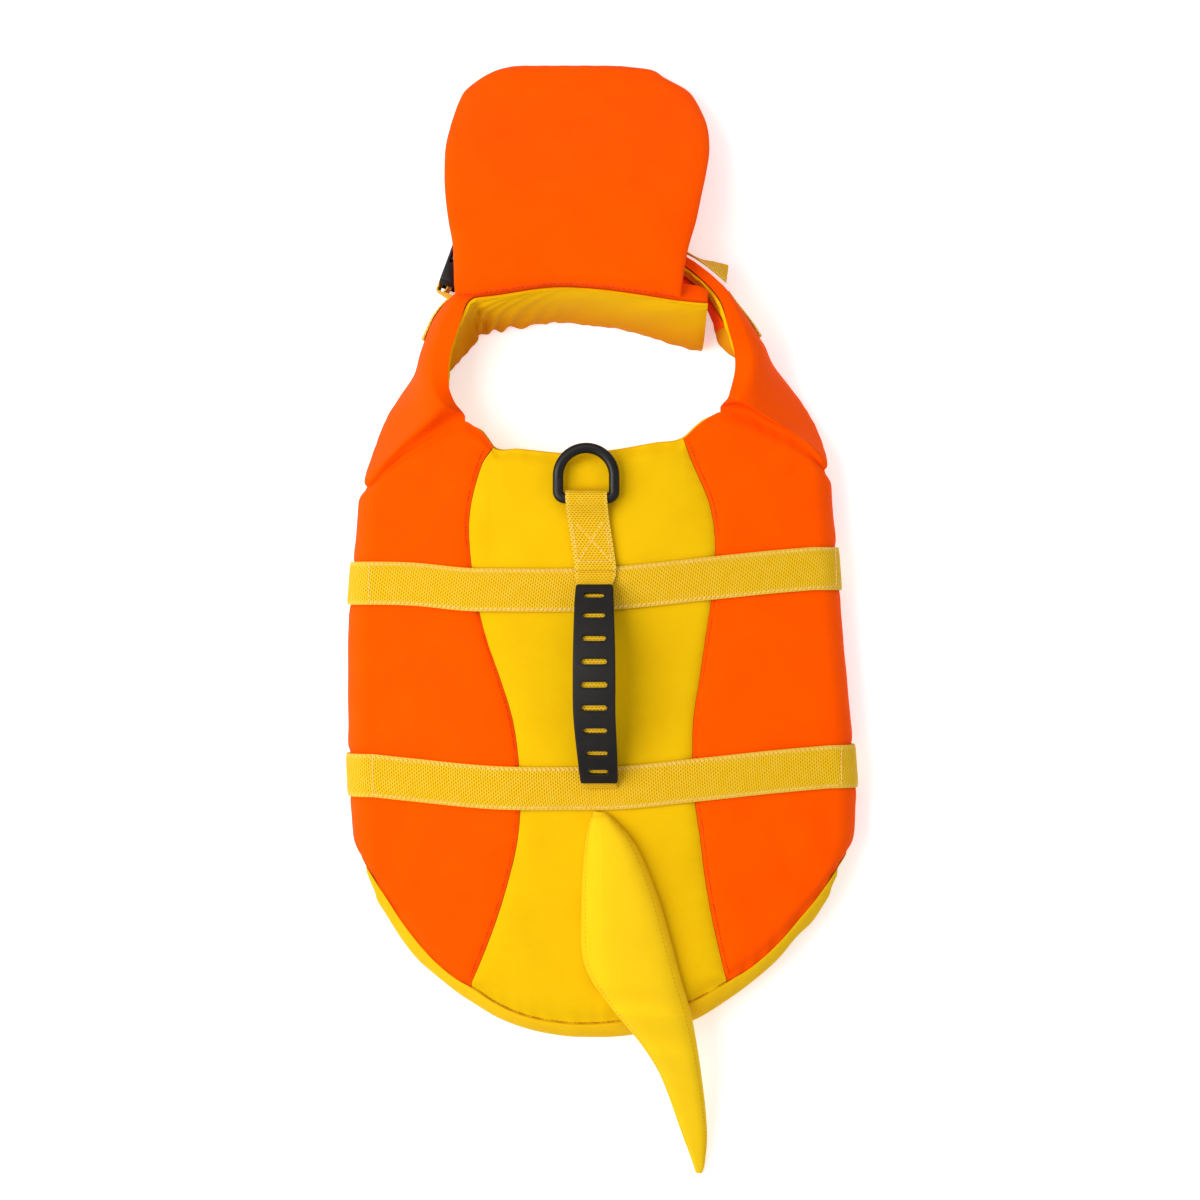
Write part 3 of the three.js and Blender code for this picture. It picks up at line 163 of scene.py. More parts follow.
# x, y, z, facing, tilt
NECK_STRAP_FRONT = [
    (-70.6, 255.4, 15.8, 136, 0), (-62.6, 258.2, 14.6, 94, 0), (-52, 255.8, 14, 75, 0), (-30, 248.8, 13.6, 72, 0),
    (0, 240, 13.6, 75, 0), (24, 233, 14, 72, 0), (39, 224.8, 15, 57, 2), (49, 216.4, 17, 50, 5),
    (58, 210.9, 19.6, 52, 8), (66, 206.8, 22.4, 71, 18), (74.5, 201.8, 24.5, 80, 30),
]
# y, x
HANDLE_DRIFT = [
    (70, -8), (60, -7), (50, -5.5), (40, -4), (28, -2.6), (19, -3.2), (-12, -3.4), (-47, -3.4), (-80, -1.4),
    (-97, -0.2),
]
NECK_FOLD = (79.2, 70.6)
ACROSS = [0, 0.05, 0.14, 0.3, 0.48, 0.64, 0.78, 0.89, 0.96, 1]
FOLD_FOAM = [0.3, 0.6, 0.9, 1]
# How far round the body's side each step of an arm's foot goes, and the gap left at its fold
FOOT_STEP = 0.064
FOLD_GAP = 0.12
BAR_X = 56 / 2 - 4.3
BAR_RADIUS = 2.9
BAR_TAIL = 13
BAR_LEAD = 7


def srgb(r, g, b):
    """A colour given as 0 to 255 display values, as linear RGBA."""
    linear = [c / 255 / 12.92 if c <= 10 else ((c / 255 + 0.055) / 1.055) ** 2.4 for c in (r, g, b)]
    return (*linear, 1)


def smooth(x, low, high):
    t = np.clip((np.asarray(x, float) - low) / (high - low), 0, 1)
    return t * t * (3 - 2 * t)


def lerp(a, b, t):
    return a + (b - a) * t


def bump(distance, reach):
    return np.exp(-((distance / reach) ** 2))


def unit(v):
    return v / np.maximum(np.linalg.norm(v, axis=-1, keepdims=True), 1e-9)


def vec(x, y, z):
    return np.stack(np.broadcast_arrays(np.asarray(x, float), y, z), axis=-1)


def curve(pairs, key=0, value=1):
    """A smooth curve through one column of a table against another, held level past its ends."""
    rows = np.array(sorted(pairs, key=lambda row: row[key]), float)
    xs, ys = rows[:, key], rows[:, value]
    rise = np.diff(ys) / np.diff(xs)
    inner = np.where(rise[:-1] * rise[1:] <= 0, 0, (rise[:-1] + rise[1:]) / 2)
    slope = np.concatenate([rise[:1], inner, rise[-1:]])

    def at(x):
        x = np.clip(x, xs[0], xs[-1])
        i = np.clip(np.searchsorted(xs, x, side="right") - 1, 0, len(xs) - 2)
        span = xs[i + 1] - xs[i]
        t = (x - xs[i]) / span
        a, b = (1 + 2 * t) * (1 - t) ** 2, t * (1 - t) ** 2 * span
        c, d = t * t * (3 - 2 * t), t * t * (t - 1) * span
        return a * ys[i] + b * slope[i] + c * ys[i + 1] + d * slope[i + 1]

    return at


def stations(rows):
    """Every column of a table as curves over the row number."""
    numbered = [(i, *row) for i, row in enumerate(rows)]
    curves = [curve(numbered, 0, j + 1) for j in range(len(rows[0]))]
    return lambda at: [c(at) for c in curves]


half_left, half_right = curve(WIDTHS, 0, 1), curve(WIDTHS, 0, 2)
front_edge = curve(FRONT_EDGE)
hem_seam, hem_foot = curve(HEM, 0, 1), curve(HEM, 0, 2)
seam_left, seam_right = curve(SEAMS, 0, 1), curve(SEAMS, 0, 2)
strap_front, strap_rear = curve(STRAP_FRONT), curve(STRAP_REAR)
drift = curve(HANDLE_DRIFT)


# The trunk's skin: s is the distance from the middle line, round the roll and in under the belly
def trunk(left, y):
    centre = np.where(left, half_left(y), half_right(y)) - ROLL
    start = centre + ROLL * math.sin(EDGE_SLOPE)
    return centre, start, start + ROLL * (math.pi - EDGE_SLOPE)


def skin(s, y, out):
    s, y, out = np.broadcast_arrays(np.asarray(s, float), y, out)
    a = np.abs(s)
    centre, start, end = trunk(s < 0, y)
    middle = BELLY_Z + ROLL
    crown = start * math.tan(EDGE_SLOPE) / 2
    flat = a < start
    on_top = math.pi / 2 - np.arctan(math.tan(EDGE_SLOPE) * a / start)
    on_roll = np.maximum(-math.pi / 2, math.pi / 2 - EDGE_SLOPE - (a - start) / ROLL)
    angle = np.where(flat, on_top, on_roll)
    x = np.where(flat, a, centre + ROLL * np.cos(angle) - np.maximum(0, a - end))
    top = middle + ROLL * math.cos(EDGE_SLOPE) + crown * (1 - (a / start) ** 2)
    z = np.where(flat, top, middle + ROLL * np.sin(angle)) + np.sin(angle) * out
    droop = TAIL_DROOP * np.maximum(0, (TAIL_START - y) / TAIL_LENGTH) ** 1.7
    return vec(np.where(s < 0, -1, 1) * (x + np.cos(angle) * out), y, z - droop * np.minimum(1, z / 30))


def row_y(s, v, to_foot=0):
    return lerp(front_edge(s), lerp(hem_seam(s), hem_foot(s), to_foot), v)


def crossing(seam, side, v):
    near, far = np.full_like(v, 30.0), np.full_like(v, 90.0)
    for _ in range(40):
        middle = (near + far) / 2
        inside = middle < seam(row_y(side * middle, v))
        near, far = np.where(inside, middle, near), np.where(inside, far, middle)
    return side * near


def foam_at(s, y):
    centre, start, end = trunk(s < 0, y)
    edge = start + ROLL * (math.pi / 2 - EDGE_SLOPE)
    return lerp(FOAM, FLAP_EDGE_FOAM, smooth(np.abs(s), edge + 4, end + BELLY_SEAM))


# Meshes
def mesh_object(name, points, faces, material, cloth=None, body="jacket", sharp=50):
    """A piece from points in millimetres. cloth gives each point its place on the flat cloth, in millimetres."""
    mesh = bpy.data.meshes.new(name)
    mesh.from_pydata((np.asarray(points) * MM).tolist(), [], [list(map(int, f)) for f in faces])
    if cloth is not None:
        layer = mesh.attributes.new("cloth", "FLOAT_VECTOR", "POINT")
        flat = np.zeros((len(points), 3), np.float32)
        flat[:, :2] = cloth
        layer.data.foreach_set("vector", flat.ravel())
    tidy = bmesh.new()
    tidy.from_mesh(mesh)
    bmesh.ops.remove_doubles(tidy, verts=tidy.verts, dist=2e-6)
    bmesh.ops.recalc_face_normals(tidy, faces=tidy.faces)
    if tidy.calc_volume(signed=True) < 0:
        bmesh.ops.reverse_faces(tidy, faces=tidy.faces)
    tidy.to_mesh(mesh)
    tidy.free()
    mesh.shade_smooth()
    mesh.set_sharp_from_angle(angle=math.radians(sharp))
    piece = bpy.data.objects.new(name, mesh)
    bpy.context.scene.collection.objects.link(piece)
    mesh.materials.append(material)
    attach(piece, body)
    return piece


def flat_places(grid):
    """Distances along a grid's middle row and middle column, for the weave to follow."""
    rows, cols = grid.shape[:2]
    across = np.linalg.norm(np.diff(grid, axis=1), axis=2)
    along = np.linalg.norm(np.diff(grid, axis=0), axis=2)
    u = np.concatenate([np.zeros((rows, 1)), np.cumsum(across, axis=1)], axis=1)
    v = np.concatenate([np.zeros((1, cols)), np.cumsum(along, axis=0)], axis=0)
    return np.stack([u - u[:, cols // 2][:, None], v], axis=-1)


def wall(name, outer, inner, material, **more):
    """A closed wall between two grids of points with the same rows and columns."""
    rows, cols = outer.shape[:2]
    index = np.arange(2 * rows * cols).reshape(2, rows, cols)
    top, low = index

    def quads(a, b, c, d):
        return np.stack([a.ravel(), b.ravel(), c.ravel(), d.ravel()], axis=1)

    faces = [
        quads(top[:-1, :-1], top[:-1, 1:], top[1:, 1:], top[1:, :-1]),
        quads(low[:-1, :-1], low[1:, :-1], low[1:, 1:], low[:-1, 1:]),
        quads(top[0, 1:], top[0, :-1], low[0, :-1], low[0, 1:]),
        quads(top[-1, :-1], top[-1, 1:], low[-1, 1:], low[-1, :-1]),
        quads(top[:-1, 0], top[1:, 0], low[1:, 0], low[:-1, 0]),
        quads(top[1:, -1], top[:-1, -1], low[:-1, -1], low[1:, -1]),
    ]
    points = np.concatenate([outer.reshape(-1, 3), inner.reshape(-1, 3)])
    cloth = np.concatenate([flat_places(outer).reshape(-1, 2), flat_places(inner).reshape(-1, 2)])
    return mesh_object(name, points, np.concatenate(faces), material, cloth, **more)


def normals(grid):
    return unit(np.cross(np.gradient(grid, axis=0), np.gradient(grid, axis=1)))


def refine(grid, rows=1, cols=1):
    """More points on a grid, on smooth curves through the ones it has."""
    for axis, times in ((0, rows), (1, cols)):
        if times == 1:
            continue
        g = np.moveaxis(grid, axis, 0)
        n = len(g)
        g = np.concatenate([2 * g[:1] - g[1:2], g, 2 * g[-1:] - g[-2:-1]])
        gap = np.maximum(np.linalg.norm(np.diff(g, axis=0), axis=-1, keepdims=True), 1e-6) ** 0.5
        at = np.linspace(0, n - 1, (n - 1) * times + 1)
        i = np.minimum(at.astype(int), n - 2)
        t = (at - i)[:, None, None]
        p0, p1, p2, p3 = (g[i + k] for k in range(4))
        d0, d1, d2 = (gap[i + k] for k in range(3))
        lead = d1 * ((p1 - p0) / d0 - (p2 - p0) / (d0 + d1) + (p2 - p1) / d1)
        trail = d1 * ((p2 - p1) / d1 - (p3 - p1) / (d1 + d2) + (p3 - p2) / d2)
        made = (2 * t**3 - 3 * t**2 + 1) * p1 + (t**3 - 2 * t**2 + t) * lead
        made = made + (3 * t**2 - 2 * t**3) * p2 + (t**3 - t**2) * trail
        grid = np.moveaxis(made, 0, axis)
    return grid


def waves(a, b, seed, size, count=7):
    """Soft irregular undulation from -1 to 1 over a and b, with waves about size long."""
    dice = np.random.default_rng(seed)
    total = 0
    for _ in range(count):
        turn, phase = dice.uniform(0, math.pi), dice.uniform(0, 2 * math.pi)
        k = 2 * math.pi / (size * dice.uniform(0.7, 1.6))
        total = total + np.sin(k * (a * math.cos(turn) + b * math.sin(turn)) + phase)
    return total / count**0.5 / 1.5


# Materials
def shader(name, colour, rough):
    material = bpy.data.materials.new(name)
    material.use_nodes = True
    tree = material.node_tree
    principled = tree.nodes["Principled BSDF"]
    principled.inputs["Roughness"].default_value = rough
    principled.inputs["Base Color"].default_value = colour
    return material, tree, principled


def node(tree, kind, settings=None, **inputs):
    made = tree.nodes.new(kind)
    for key, value in (settings or {}).items():
        setattr(made, key, value)
    for key, value in inputs.items():
        socket = made.inputs[int(key[1:])] if key[0] == "i" and key[1:].isdigit() else made.inputs[key]
        if isinstance(value, bpy.types.NodeSocket):
            tree.links.new(value, socket)
        else:
            socket.default_value = value
    return made


def maths(tree, operation, a, b=0.0):
    return node(tree, "ShaderNodeMath", {"operation": operation}, i0=a, i1=b).outputs[0]


def mixed(tree, amount, a, b):
    """Colour a turned towards colour b by amount."""
    made = node(tree, "ShaderNodeMix", {"data_type": "RGBA"})
    for socket, value in ((made.inputs["Factor"], amount), (made.inputs[6], a), (made.inputs[7], b)):
        if isinstance(value, bpy.types.NodeSocket):
            tree.links.new(value, socket)
        else:
            socket.default_value = value
    return made.outputs[2]


def ranged(tree, value, low, high, to_low=0.0, to_high=1.0):
    made = node(tree, "ShaderNodeMapRange", {"clamp": True}, i0=value, i1=low, i2=high, i3=to_low, i4=to_high)
    return made.outputs[0]


def noise(tree, at, scale, detail=3.0):
    made = node(tree, "ShaderNodeTexNoise", {}, Vector=at, Scale=scale, Detail=detail)
    return made.outputs["Fac"]


def bumped(tree, principled, height, distance, strength=1.0):
    made = node(tree, "ShaderNodeBump", {}, Strength=strength, Distance=distance, Height=height)
    tree.links.new(made.outputs[0], principled.inputs["Normal"])


def cloth_material(name, colour, deep, pitch=0.62, rough=0.82, sheen=0.1, mottle=0.55, low=None):
    """Close plain-woven nylon: threads each way, soft mottling and a faint slub.

    low is a painted shade with painted orange reflection: the tone that a strip's lower edge turns to."""
    material, tree, principled = shader(name, colour, rough)
    flat = node(tree, "ShaderNodeAttribute", {"attribute_name": "cloth"}).outputs["Vector"]
    place = node(tree, "ShaderNodeSeparateXYZ", {}, i0=flat)
    turns = 2 * math.pi / pitch
    warp = maths(tree, "SINE", maths(tree, "MULTIPLY", place.outputs[0], turns))
    weft = maths(tree, "SINE", maths(tree, "MULTIPLY", place.outputs[1], turns))
    weave = maths(tree, "MULTIPLY", warp, weft)
    drawn = node(tree, "ShaderNodeVectorMath", {"operation": "MULTIPLY"}, i0=flat, i1=(0.15, 1.6, 1)).outputs[0]
    slub = noise(tree, drawn, 1.0, 2.0)
    fine = noise(tree, flat, 1.3, 2.0)
    broad = noise(tree, flat, 0.035, 3.0)
    tone = maths(tree, "ADD", maths(tree, "MULTIPLY", broad, 0.55), maths(tree, "MULTIPLY", fine, 0.3))
    tone = maths(tree, "ADD", tone, maths(tree, "MULTIPLY", slub, 0.15))
    base = mixed(tree, ranged(tree, tone, 0.38, 0.66, 0.0, mottle), colour, deep)
    # Painted shade and painted reflection of the orange cloth: the colour turns to low across the strip
    if low:
        base = mixed(tree, ranged(tree, place.outputs[0], -22, 20), base, low)
    tree.links.new(base, principled.inputs["Base Color"])
    tree.links.new(ranged(tree, fine, 0.3, 0.7, rough - 0.06, rough + 0.06), principled.inputs["Roughness"])
    height = maths(tree, "ADD", maths(tree, "MULTIPLY", weave, 0.5), maths(tree, "MULTIPLY", slub, 0.8))
    bumped(tree, principled, height, 0.00007)
    principled.inputs["Sheen Weight"].default_value = sheen
    principled.inputs["Sheen Roughness"].default_value = 0.5
    principled.inputs["Sheen Tint"].default_value = deep
    principled.inputs["Specular IOR Level"].default_value = 0.12
    principled.inputs["Specular Tint"].default_value = deep
    return material


def webbing_material(name, colour, deep, light):
    """Woven strap: ribs across it with short sunk picks, every second rib half a pick along; the sunk picks and the
    low parts of the ribs are painted darker, as painted shade.
    """
    material, tree, principled = shader(name, colour, 0.7)
    flat = node(tree, "ShaderNodeAttribute", {"attribute_name": "cloth"}).outputs["Vector"]
    place = node(tree, "ShaderNodeSeparateXYZ", {}, i0=flat)
    row = maths(tree, "MULTIPLY", place.outputs[1], 1 / 1.35)
    odd = maths(tree, "FRACT", maths(tree, "MULTIPLY", maths(tree, "FLOOR", row), 0.5))
    across = maths(tree, "PINGPONG", maths(tree, "ADD", maths(tree, "MULTIPLY", place.outputs[0], 1 / 2.1), odd), 0.5)
    along = maths(tree, "PINGPONG", row, 0.5)
    sunk = maths(tree, "MULTIPLY", ranged(tree, along, 0.22, 0.46), ranged(tree, across, 0.14, 0.36))
    rib = maths(tree, "MULTIPLY", along, 0.5)
    height = maths(tree, "SUBTRACT", maths(tree, "SUBTRACT", 1.0, sunk), rib)
    worn = noise(tree, flat, 0.16, 3.0)
    body = mixed(tree, ranged(tree, worn, 0.35, 0.7, 0.0, 0.25), colour, light)
    edge = ranged(tree, maths(tree, "ABSOLUTE", place.outputs[0]), 9.4, 10.8, 0.0, 0.7)
    body = mixed(tree, edge, body, light)
    # Painted shade: the lower the weave, the more the colour turns to deep
    tone = maths(tree, "MULTIPLY", maths(tree, "SUBTRACT", 1.0, height), 0.7)
    tree.links.new(mixed(tree, tone, body, deep), principled.inputs["Base Color"])
    bumped(tree, principled, height, 0.0004, 0.9)
    principled.inputs["Specular IOR Level"].default_value = 0.15
    principled.inputs["Specular Tint"].default_value = colour
    return material


def moulded_material(name, colour, light, rough, grain):
    """Moulded plastic or rubber with a fine spark grain and scuffed high spots."""
    material, tree, principled = shader(name, colour, rough)
    at = node(tree, "ShaderNodeTexCoord").outputs["Object"]
    fine = noise(tree, at, 2600.0, 2.0)
    broad = noise(tree, at, 90.0, 4.0)
    scuffed = mixed(tree, ranged(tree, broad, 0.45, 0.75, 0.0, 0.8), colour, light)
    tree.links.new(scuffed, principled.inputs["Base Color"])
    tree.links.new(ranged(tree, broad, 0.3, 0.7, rough - 0.08, rough + 0.1), principled.inputs["Roughness"])
    bumped(tree, principled, fine, grain)
    principled.inputs["Specular IOR Level"].default_value = 0.3
    return material


def thread_material(name, colour, deep):
    material, tree, principled = shader(name, colour, 0.6)
    at = node(tree, "ShaderNodeTexCoord").outputs["Object"]
    broad = noise(tree, at, 260.0, 2.0)
    tree.links.new(mixed(tree, ranged(tree, broad, 0.35, 0.65), colour, deep), principled.inputs["Base Color"])
    twist = noise(tree, at, 3000.0, 1.0)
    bumped(tree, principled, twist, 0.00008)
    principled.inputs["Specular IOR Level"].default_value = 0.2
    return material


ORANGE = cloth_material("orange_cloth", srgb(255, 86, 1), srgb(251, 75, 1))
YELLOW = cloth_material("yellow_cloth", srgb(233, 185, 12), srgb(221, 170, 8))
RIM_YELLOW = cloth_material("yellow_lining", srgb(240, 190, 22), srgb(228, 172, 12))
# The collar lining is painted darker and more orange towards its lower edge: painted shade and painted orange
# reflection
BAND_YELLOW_PAINTED_SHADE = cloth_material("yellow_collar_lining_painted_shade", srgb(240, 190, 10), srgb(234, 178, 6), low=srgb(208, 126, 1))
FIN_YELLOW = cloth_material("yellow_fin", srgb(242, 198, 26), srgb(233, 186, 18))
LOOP_TAPE = cloth_material("loop_tape", srgb(250, 84, 4), srgb(226, 62, 2), pitch=1.6, rough=0.95, sheen=0.4)
# The webbing's deep tone is painted shade in the hollows of its weave
WEBBING = webbing_material("webbing", srgb(232, 184, 30), srgb(190, 130, 4), srgb(240, 202, 78))
PLASTIC = moulded_material("buckle_plastic", srgb(8, 6, 5), srgb(20, 16, 14), 0.36, 0.00003)
RUBBER = moulded_material("grip_rubber", srgb(12, 9, 8), srgb(26, 21, 18), 0.58, 0.00006)
PALE_THREAD = thread_material("pale_thread", srgb(250, 214, 150), srgb(240, 186, 104))
RED_THREAD = thread_material("red_thread", srgb(228, 52, 2), srgb(206, 38, 2))
RIM_THREAD = thread_material("rim_thread", srgb(190, 92, 10), srgb(166, 66, 6))
GOLD_THREAD = thread_material("gold_thread", srgb(214, 152, 8), srgb(196, 132, 6))


# Panels of the back
def ends_close(count, share=0.45):
    """Shares from 0 to 1 that lie closer together near both ends."""
    t = np.linspace(0, 1, count)
    return (1 - share) * t + share * (1 - np.cos(math.pi * t)) / 2


BACK_LENGTH = 325
WIDEST = 140
V = ends_close(170)[:, None]


def side_columns(side, v):
    s = np.abs(crossing(seam_left if side < 0 else seam_right, side, v)) + SEAM_GAP / 2
    knee = NECK_FOLD[0 if side < 0 else 1] + 17 * (1 - np.exp(-v / 0.06))
    _, start, end = trunk(side < 0, row_y(side * WIDEST, v))
    parts = [
        lerp(s, knee, np.linspace(0, 1, 34, endpoint=False) ** 1.5),
        lerp(knee, start, np.linspace(0, 1, 44, endpoint=False)),
        lerp(start, end, np.linspace(0, 1, 40, endpoint=False)),
        lerp(end, end + BELLY_SEAM, np.linspace(0, 1, 7)),
    ]
    return side * np.concatenate(parts, axis=1)


def centre_columns(v):
    left = crossing(seam_left, -1, v) + SEAM_GAP / 2
    right = crossing(seam_right, 1, v) - SEAM_GAP / 2
    return lerp(left, right, ends_close(90, 0.6))


def edge_dip(v, seam_distance):
    front = 3.4 * bump(v * BACK_LENGTH, 5)
    hem = 3 * bump((1 - v) * BACK_LENGTH, 6)
    return np.maximum(np.maximum(front, hem), 2.2 * np.exp(-seam_distance / 3.4))


# Soft troughs in the cloth: x, y, turn in degrees, half length, half width, depth
CREASES = [
    (-112, 40, 4, 24, 4, 0.55), (-88, 52, 12, 16, 3.5, 0.3), (104, 47, -8, 26, 4.5, 0.5), (82, 58, -16, 14, 3, 0.3),
    (-120, -62, 6, 20, 4, 0.4), (118, -58, -5, 22, 4, 0.4), (-104, 84, -38, 18, 5, 0.7), (-88, 96, -30, 12, 3, 0.4),
    (96, 96, 34, 20, 5, 0.7), (114, 86, 52, 14, 4, 0.5), (-20, 84, 8, 22, 4, 0.3), (26, 88, -10, 18, 4, 0.35),
    (-60, -150, 70, 20, 5, 0.3), (84, -160, -60, 22, 5, 0.35), (-96, -168, 48, 16, 4, 0.35),
    (-30, -200, 10, 20, 5, 0.3), (-118, -120, 30, 18, 5, 0.4), (124, -122, -28, 18, 5, 0.4),
]


def creases(x, y):
    total = 0
    for cx, cy, turn, length, width, depth in CREASES:
        c, s = math.cos(math.radians(turn)), math.sin(math.radians(turn))
        u, w = (x - cx) * c + (y - cy) * s, (y - cy) * c - (x - cx) * s
        total = total - depth * bump(u, length) * bump(w, width)
    return total


def cloth_relief(s, y, v, seam_distance, seed):
    """How far the cloth stands off its even form, in millimetres."""
    soft = 0.32 * waves(s, y, seed, 62) + 0.1 * waves(s, y, seed + 1, 21)
    pucker = 0.3 * np.exp(-seam_distance / 5) * np.sin(y / 1.45 + 1.4 * np.sin(y / 6.1 + seed))
    pucker = pucker + 0.34 * np.exp(-(1 - v) * BACK_LENGTH / 5) * np.sin(s / 1.7 + 1.5 * np.sin(s / 7.3))
    pucker = pucker + 0.3 * np.exp(-v * BACK_LENGTH / 6) * np.sin(s / 1.9 + 1.3 * np.sin(s / 8.1))
    squeeze = 0
    for strap in (strap_front, strap_rear):
        off = np.abs(y - strap(s))
        squeeze = squeeze - 0.75 * (1 - smooth(off, 11, 15)) + 0.3 * bump(off - 19, 4.5)
    clear = np.minimum(smooth(np.abs(y - strap_front(s)), 12, 16), smooth(np.abs(y - strap_rear(s)), 12, 16))
    return (soft + np.minimum(pucker, 0.3) + creases(s, y)) * clear + squeeze


def side_panel(side, name, cad, seed):
    s = side_columns(side, V)
    y = row_y(s, V)
    distance = np.abs(s - s[:, :1])
    under = 1 - smooth(np.abs(s), 165, 180)
    relief = cloth_relief(s, y, V, distance, seed) * under
    outer = skin(s, y, -edge_dip(V, distance) + relief)
    low = row_y(s, V, V**12)
    inner = skin(s, low, -foam_at(s, low))
    piece = wall(name, outer, inner, ORANGE)
    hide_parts(cad)
    return piece


def centre_panel():
    s = centre_columns(V)
    y = row_y(s, V)
    distance = np.minimum(s - s[:, :1], s[:, -1:] - s)
    outer = skin(s, y, -edge_dip(V, distance) + cloth_relief(s, y, V, distance, 5))
    inner = skin(s, row_y(s, V, V**12), -FOAM)
    piece = wall("cloth_back_centre", outer, inner, YELLOW)
    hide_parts("back_centre")


side_panel(-1, "cloth_side_left", "side_left", 11)
side_panel(1, "cloth_side_right", "side_right", 23)
centre_panel()


# The lining under the back, turned up over the foam at the hem
RIM_CLEAR = 0.35
RIM_BELOW = 3


def lining_columns(v):
    left = side_columns(-1, v)[:, ::-1][:, ::2]
    right = side_columns(1, v)[:, ::2]
    return np.concatenate([left[:, :-1], centre_columns(v)[:, 1:-1:2], right[:, 1:]], axis=1)


def back_lining():
    v = ends_close(90)[:, None]
    s = lining_columns(v)
    fold = np.where(s < 0, NECK_FOLD[0], NECK_FOLD[1])
    y = row_y(s, v, v**12) + 1.1 * (v == 0) * smooth(fold - 3 - np.abs(s), 0, 8)
    slack = 0.25 * waves(s, y, 31, 45) * smooth(v, 0, 0.04) * smooth(1 - v, 0, 0.04)
    near = [skin(s, y, -foam_at(s, y) - LINING_GAP)]
    far = [skin(s, y, -foam_at(s, y) - LINING_GAP - LINING + slack)]
    last = s[-1]
    foot, seam = row_y(last, 1.0, 1), row_y(last, 1.0)
    ahead = row_y(last + 1, 1.0, 1) - row_y(last - 1, 1.0, 1)
    outward = unit(vec(np.where(np.abs(last) < WIDEST, ahead / 2, 0), -1, 0))
    turned = np.linspace(0, 1, 12)
    for grid, gap, full in ((near, LINING_GAP, 0), (far, LINING_GAP + LINING, 1)):
        rows = []
        for share in turned:
            low = skin(last, foot, -foam_at(last, foot) - gap * (1 - share))
            high = skin(last, seam, -RIM_BELOW)
            round_off = full * (1.1 * math.sin(math.pi * share) - 0.9 * share**6)
            wrinkle = full * 0.18 * math.sin(math.pi * share) * np.sin(last / 1.6 + 1.7 * np.sin(last / 6.7))
            rows.append(lerp(low, high, share) + outward * (gap + RIM_CLEAR + round_off + wrinkle)[:, None])
        grid.append(np.stack(rows))
    piece = wall("cloth_lining", np.concatenate(near), np.concatenate(far), RIM_YELLOW)
    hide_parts("back_lining")


back_lining()


# Belly flaps
def belly_flap(side, name, cad, seed):
    v = ends_close(80)[:, None]
    centre, _, end = trunk(side < 0, row_y(side * WIDEST, v))
    seam_s = side * (end + BELLY_SEAM + SEAM_GAP)
    seam = np.abs(skin(seam_s, row_y(seam_s, v), 0)[..., 0])
    x = lerp(seam, -FLAP_OVERLAP, ends_close(70, 0.3))
    y = row_y(side * (end + centre - x), v)
    lap = (FLAP + 0.7) * (1 - smooth(x, FLAP_OVERLAP, 37)) if side > 0 else 0
    lift = 0
    for buckle in (FRONT_BUCKLE_Y, REAR_BUCKLE_Y):
        lift = np.maximum(lift, (1 - smooth(np.abs(x), 34, 60)) * (1 - smooth(np.abs(y - buckle), 19, 38)))
    z = BELLY_Z + 9.6 * lift + lap
    ends = np.maximum(bump(v * 180, 5), bump((1 - v) * 180, 5))
    dips = 1.2 * np.maximum(ends, bump(x + FLAP_OVERLAP, 4))
    thick = lerp(FLAP, FLAP_EDGE_FOAM, smooth(x, 78, 100))
    soft = 0.3 * waves(x, y, seed, 34) * smooth(x, -20, -5)
    top = vec(side * x, y, z + thick - dips + soft)
    bottom = vec(side * x, y, z + 0.4 * dips)
    piece = wall(name, top, bottom, YELLOW)
    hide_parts(cad)


belly_flap(-1, "cloth_belly_left", "belly_left", 41)
belly_flap(1, "cloth_belly_right", "belly_right", 43)


# The collar: one strip on each side, foam outside and lining towards the neck
def strip_place(station):
    x, y, z, facing, lean, width, thick, belly = station
    f, a = math.radians(facing), math.radians(lean)
    out = np.array([math.cos(f), math.sin(f), 0])
    up = np.array([0, 0, 1])
    along = out * math.cos(a) - up * math.sin(a)
    normal = out * math.sin(a) + up * math.cos(a)
    top = np.array([x, y, z]) + out * thick / 2 * math.sin(a)

    def place(q, depth):
        q = np.asarray(q, float)
        depth = depth + belly * 4 * q * (1 - q)
        p = top + along * (q * width)[..., None] + normal * np.broadcast_to(depth, q.shape)[..., None]
        p[..., 2] = np.maximum(p[..., 2], 0)
        return p

    return place


def pad(q):
    return 0.36 + 0.64 * np.sqrt(np.maximum(0, 1 - np.abs(2 * q - 1) ** 5))


Q = ends_close(64, 0.7)
# The band's loose end: rows over which its lower corner rounds off, and the share of its width that goes
END_ROWS = 7
END_CUT = 0.09
# A strip's usual width, for tucks that fade with distance from its edges
STRIP_WIDTH = 48


